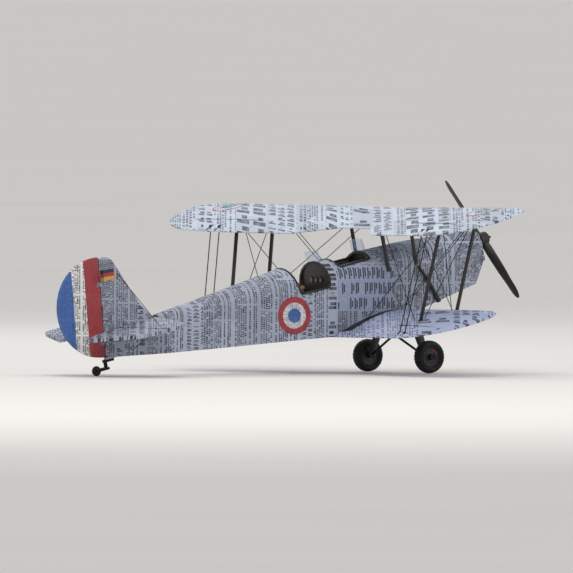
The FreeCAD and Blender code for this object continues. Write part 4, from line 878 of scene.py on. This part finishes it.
for side, way in (("left", 1), ("right", -1)):
    centre = at(-83.5, 30.0 * way, -13.5)
    ringed = newsprint(f"body_roundel_paper_{side}", forward, upward, RUDDER_STRIPS,
                       colour(200, 202, 210), colour(170, 174, 186), 53.0 + way,
                       bands(centre, BODY_ROUNDEL, True))
    cover = cover_of(f"side_panel_{side}", "turtle_deck")
    upright = Matrix.Translation(centre) @ Matrix.Rotation(math.radians(-90 * way), 4, "X")
    paste(f"body_roundel_{side}", disc(BODY_ROUNDEL[0][0]), upright, 1, cover, ringed)
    bpy.data.objects.remove(cover)
    centre = at(-6.0, 153.0 * way, 60.0)
    ringed = newsprint(f"wing_roundel_paper_{side}", bias, forward, UPPER_STRIPS,
                       colour(206, 218, 234), colour(180, 192, 212), 59.0 + way,
                       bands(centre, WING_ROUNDEL, False))
    cover = cover_of(f"upper_skin_{side}")
    paste(f"wing_roundel_{side}", disc(WING_ROUNDEL[0][0]), Matrix.Translation(centre), 2, cover,
          ringed)
    bpy.data.objects.remove(cover)
print("four roundels")

# %% [markdown]
# ## Patch on the fin
# Both sides of the fin wear a small patch of three level bands, tipped a little from the floor's
# level.

# %% Striped patch on the fin
PATCH_LENGTH, PATCH_TALL, PATCH_TILT = 11.5, 7.2, math.radians(-8)
patch_at = at(-213.4, 0.0, 44.0)
patch_paper = Finish("striped_patch_paper", Roughness=0.6)
patch_up = patch_paper.axes(patch_paper.place(tuple(patch_at), (0, PATCH_TILT, 0)))[2]
rise = patch_up / (PATCH_TALL * MM) + 0.5
weave = patch_paper.cloud(patch_paper.place(), 900.0)
patch_red = patch_paper.mix(rise > 2 / 3, colour(178, 48, 40), colour(34, 36, 70))
patch_tint = patch_paper.mix(rise < 1 / 3, patch_red, colour(206, 168, 72))
patch_paper.surface(Base_Color=patch_paper.mix(weave * 0.35, patch_tint, colour(70, 68, 80)))
patch_paper.relief(weave, 0.0001, 0.5)
cover = cover_of("fin")
for side, way in (("left", 1), ("right", -1)):
    corner = Matrix.Translation(Vector((-PATCH_LENGTH / 2, -PATCH_TALL / 2, 0)) * MM)
    face = Matrix.Rotation(math.radians(90), 4, "X")
    if way > 0:
        face = Matrix.Rotation(math.radians(180), 4, "Z") @ face
    lean = Matrix.Rotation(PATCH_TILT, 4, "Y")
    spot = Matrix.Translation(patch_at + Vector((0, 6.0 * way * MM, 0))) @ lean @ face @ corner
    paste(f"fin_patch_{side}", sheet(PATCH_LENGTH, PATCH_TALL), spot, 1, cover, patch_paper)
bpy.data.objects.remove(cover)
print("fin patches")

# %% [markdown]
# ## Walkways
# A dark tapering strip on each lower wing, beside the body, takes the weight of a foot.  It is also
# painted shade: its black darkens the wing root where the lower wing meets the body.

# %% Walkways
WALK_BACK, WALK_LENGTH, WALK_IN = -45.0, 46.0, 20.2     # on the lower wing, mm from the datum
WALK_REAR, WALK_FRONT = 13.0, 4.5                       # its width behind and in front
# a black sheet, partly a real walkway and partly painted shade along the wing root
walkway_and_shade_paper = rubbery("walkway_paper", colour(16, 15, 18), colour(40, 38, 42))
for side, way in (("left", 1), ("right", -1)):
    cover = cover_of(f"lower_skin_{side}")
    strip = sheet(WALK_LENGTH, WALK_REAR, WALK_FRONT)
    if way < 0:
        strip.data.transform(Matrix.Scale(-1, 4, (0, 1, 0)))
        strip.data.flip_normals()
    paste(f"walkway_{side}", strip, Matrix.Translation(at(WALK_BACK, WALK_IN * way, 0.0)), 2, cover,
          walkway_and_shade_paper)
    bpy.data.objects.remove(cover)
print("walkways")

# %% [markdown]
# ## Dials
# Each instrument panel carries three dials.  A dial is a short turned rim round a sunk face; its
# ticks and needle are worked out from the angle, and it shows no figures.

# %% Dial faces
DIAL, DIAL_TALL, DIAL_PITCH = 2.1, 0.8, 5.6      # mm
DIAL_UP = 3.5                                    # height of the middles above the datum
PANEL_BACKS = (-13.0, -51.0)                     # rear faces of the two panels
TICKS = 12
dial_face = Finish("dial_face", Roughness=0.35, Coat_Weight=0.4, Coat_Roughness=0.08)
_, side_way, up_way = dial_face.axes(dial_face.place(tuple(datum), (0, -nose_up, 0)))
y = ((side_way / (DIAL_PITCH * MM) + 0.5).part() - 0.5) * (DIAL_PITCH * MM)
z = up_way - DIAL_UP * MM
reach = (y * y + z * z).math("SQRT") / (DIAL * MM)
around = (z.math("ARCTAN2", y) / math.tau + 0.5) * TICKS
tick = (abs(around.part() - 0.5) > 0.4) * (reach > 0.52) * (reach < 0.74)
needle = (abs(y - z * 0.6) < 0.13 * MM) * (z > -0.2 * MM) * (reach < 0.6)
grime = dial_face.cloud(dial_face.place(), 1200.0)
plate = dial_face.mix(grime, colour(18, 18, 20), colour(34, 33, 34))
dial_face.surface(Base_Color=dial_face.mix(tick + needle, plate, colour(214, 206, 178)),
                  Roughness=grime * 0.2 + 0.25)
print("dial face with", TICKS, "ticks")

# %% Dials
begin()
bpy.ops.mesh.primitive_cylinder_add(vertices=40, radius=DIAL * MM, depth=DIAL_TALL * MM)
pattern = bpy.context.object
edit(pattern, lambda c, n: n.z > 0.9)
bpy.ops.mesh.inset(thickness=0.35 * MM, depth=0)
bpy.ops.mesh.inset(thickness=0.05 * MM, depth=-0.4 * MM)
bpy.ops.object.mode_set(mode="OBJECT")
bevel = pattern.modifiers.new("bevel", "BEVEL")
bevel.width, bevel.segments, bevel.limit_method = 0.1 * MM, 2, "ANGLE"
bpy.ops.object.modifier_apply(modifier="bevel")
FACING_BACK = Matrix.Rotation(math.radians(-90), 4, "Y")
for row, back in zip(("front", "rear"), PANEL_BACKS):
    for i in (-1, 0, 1):
        dial = bpy.data.objects.new("dial", pattern.data.copy())
        bpy.context.scene.collection.objects.link(dial)
        begin()
        dial.select_set(True)
        bpy.context.view_layer.objects.active = dial
        spot = Vector((back - DIAL_TALL * 0.4, DIAL_PITCH * i, DIAL_UP)) * MM
        settle(f"{row}_dial_{i + 2}", dial, stance @ Matrix.Translation(spot) @ FACING_BACK,
               "airframe", dial_face)
bpy.data.objects.remove(pattern)
print("six dials")

# %% [markdown]
# ## Windscreens
# A windscreen is thin tinted sheet.  Full glass would show nothing but reflections on so small a
# piece, so the sheet is made partly see-through, with a faint haze of scratches.

# %% Windscreens
screen = Finish("tinted_screen", Roughness=0.12, IOR=1.46)
haze = screen.cloud(screen.place(), 120.0, 4.0)
screen.surface(Base_Color=screen.mix(haze, colour(120, 140, 190), colour(170, 188, 222)),
               Alpha=haze * 0.15 + 0.12, Roughness=haze * 0.2 + 0.08)
wear(["windscreens"], screen)
print("windscreens")
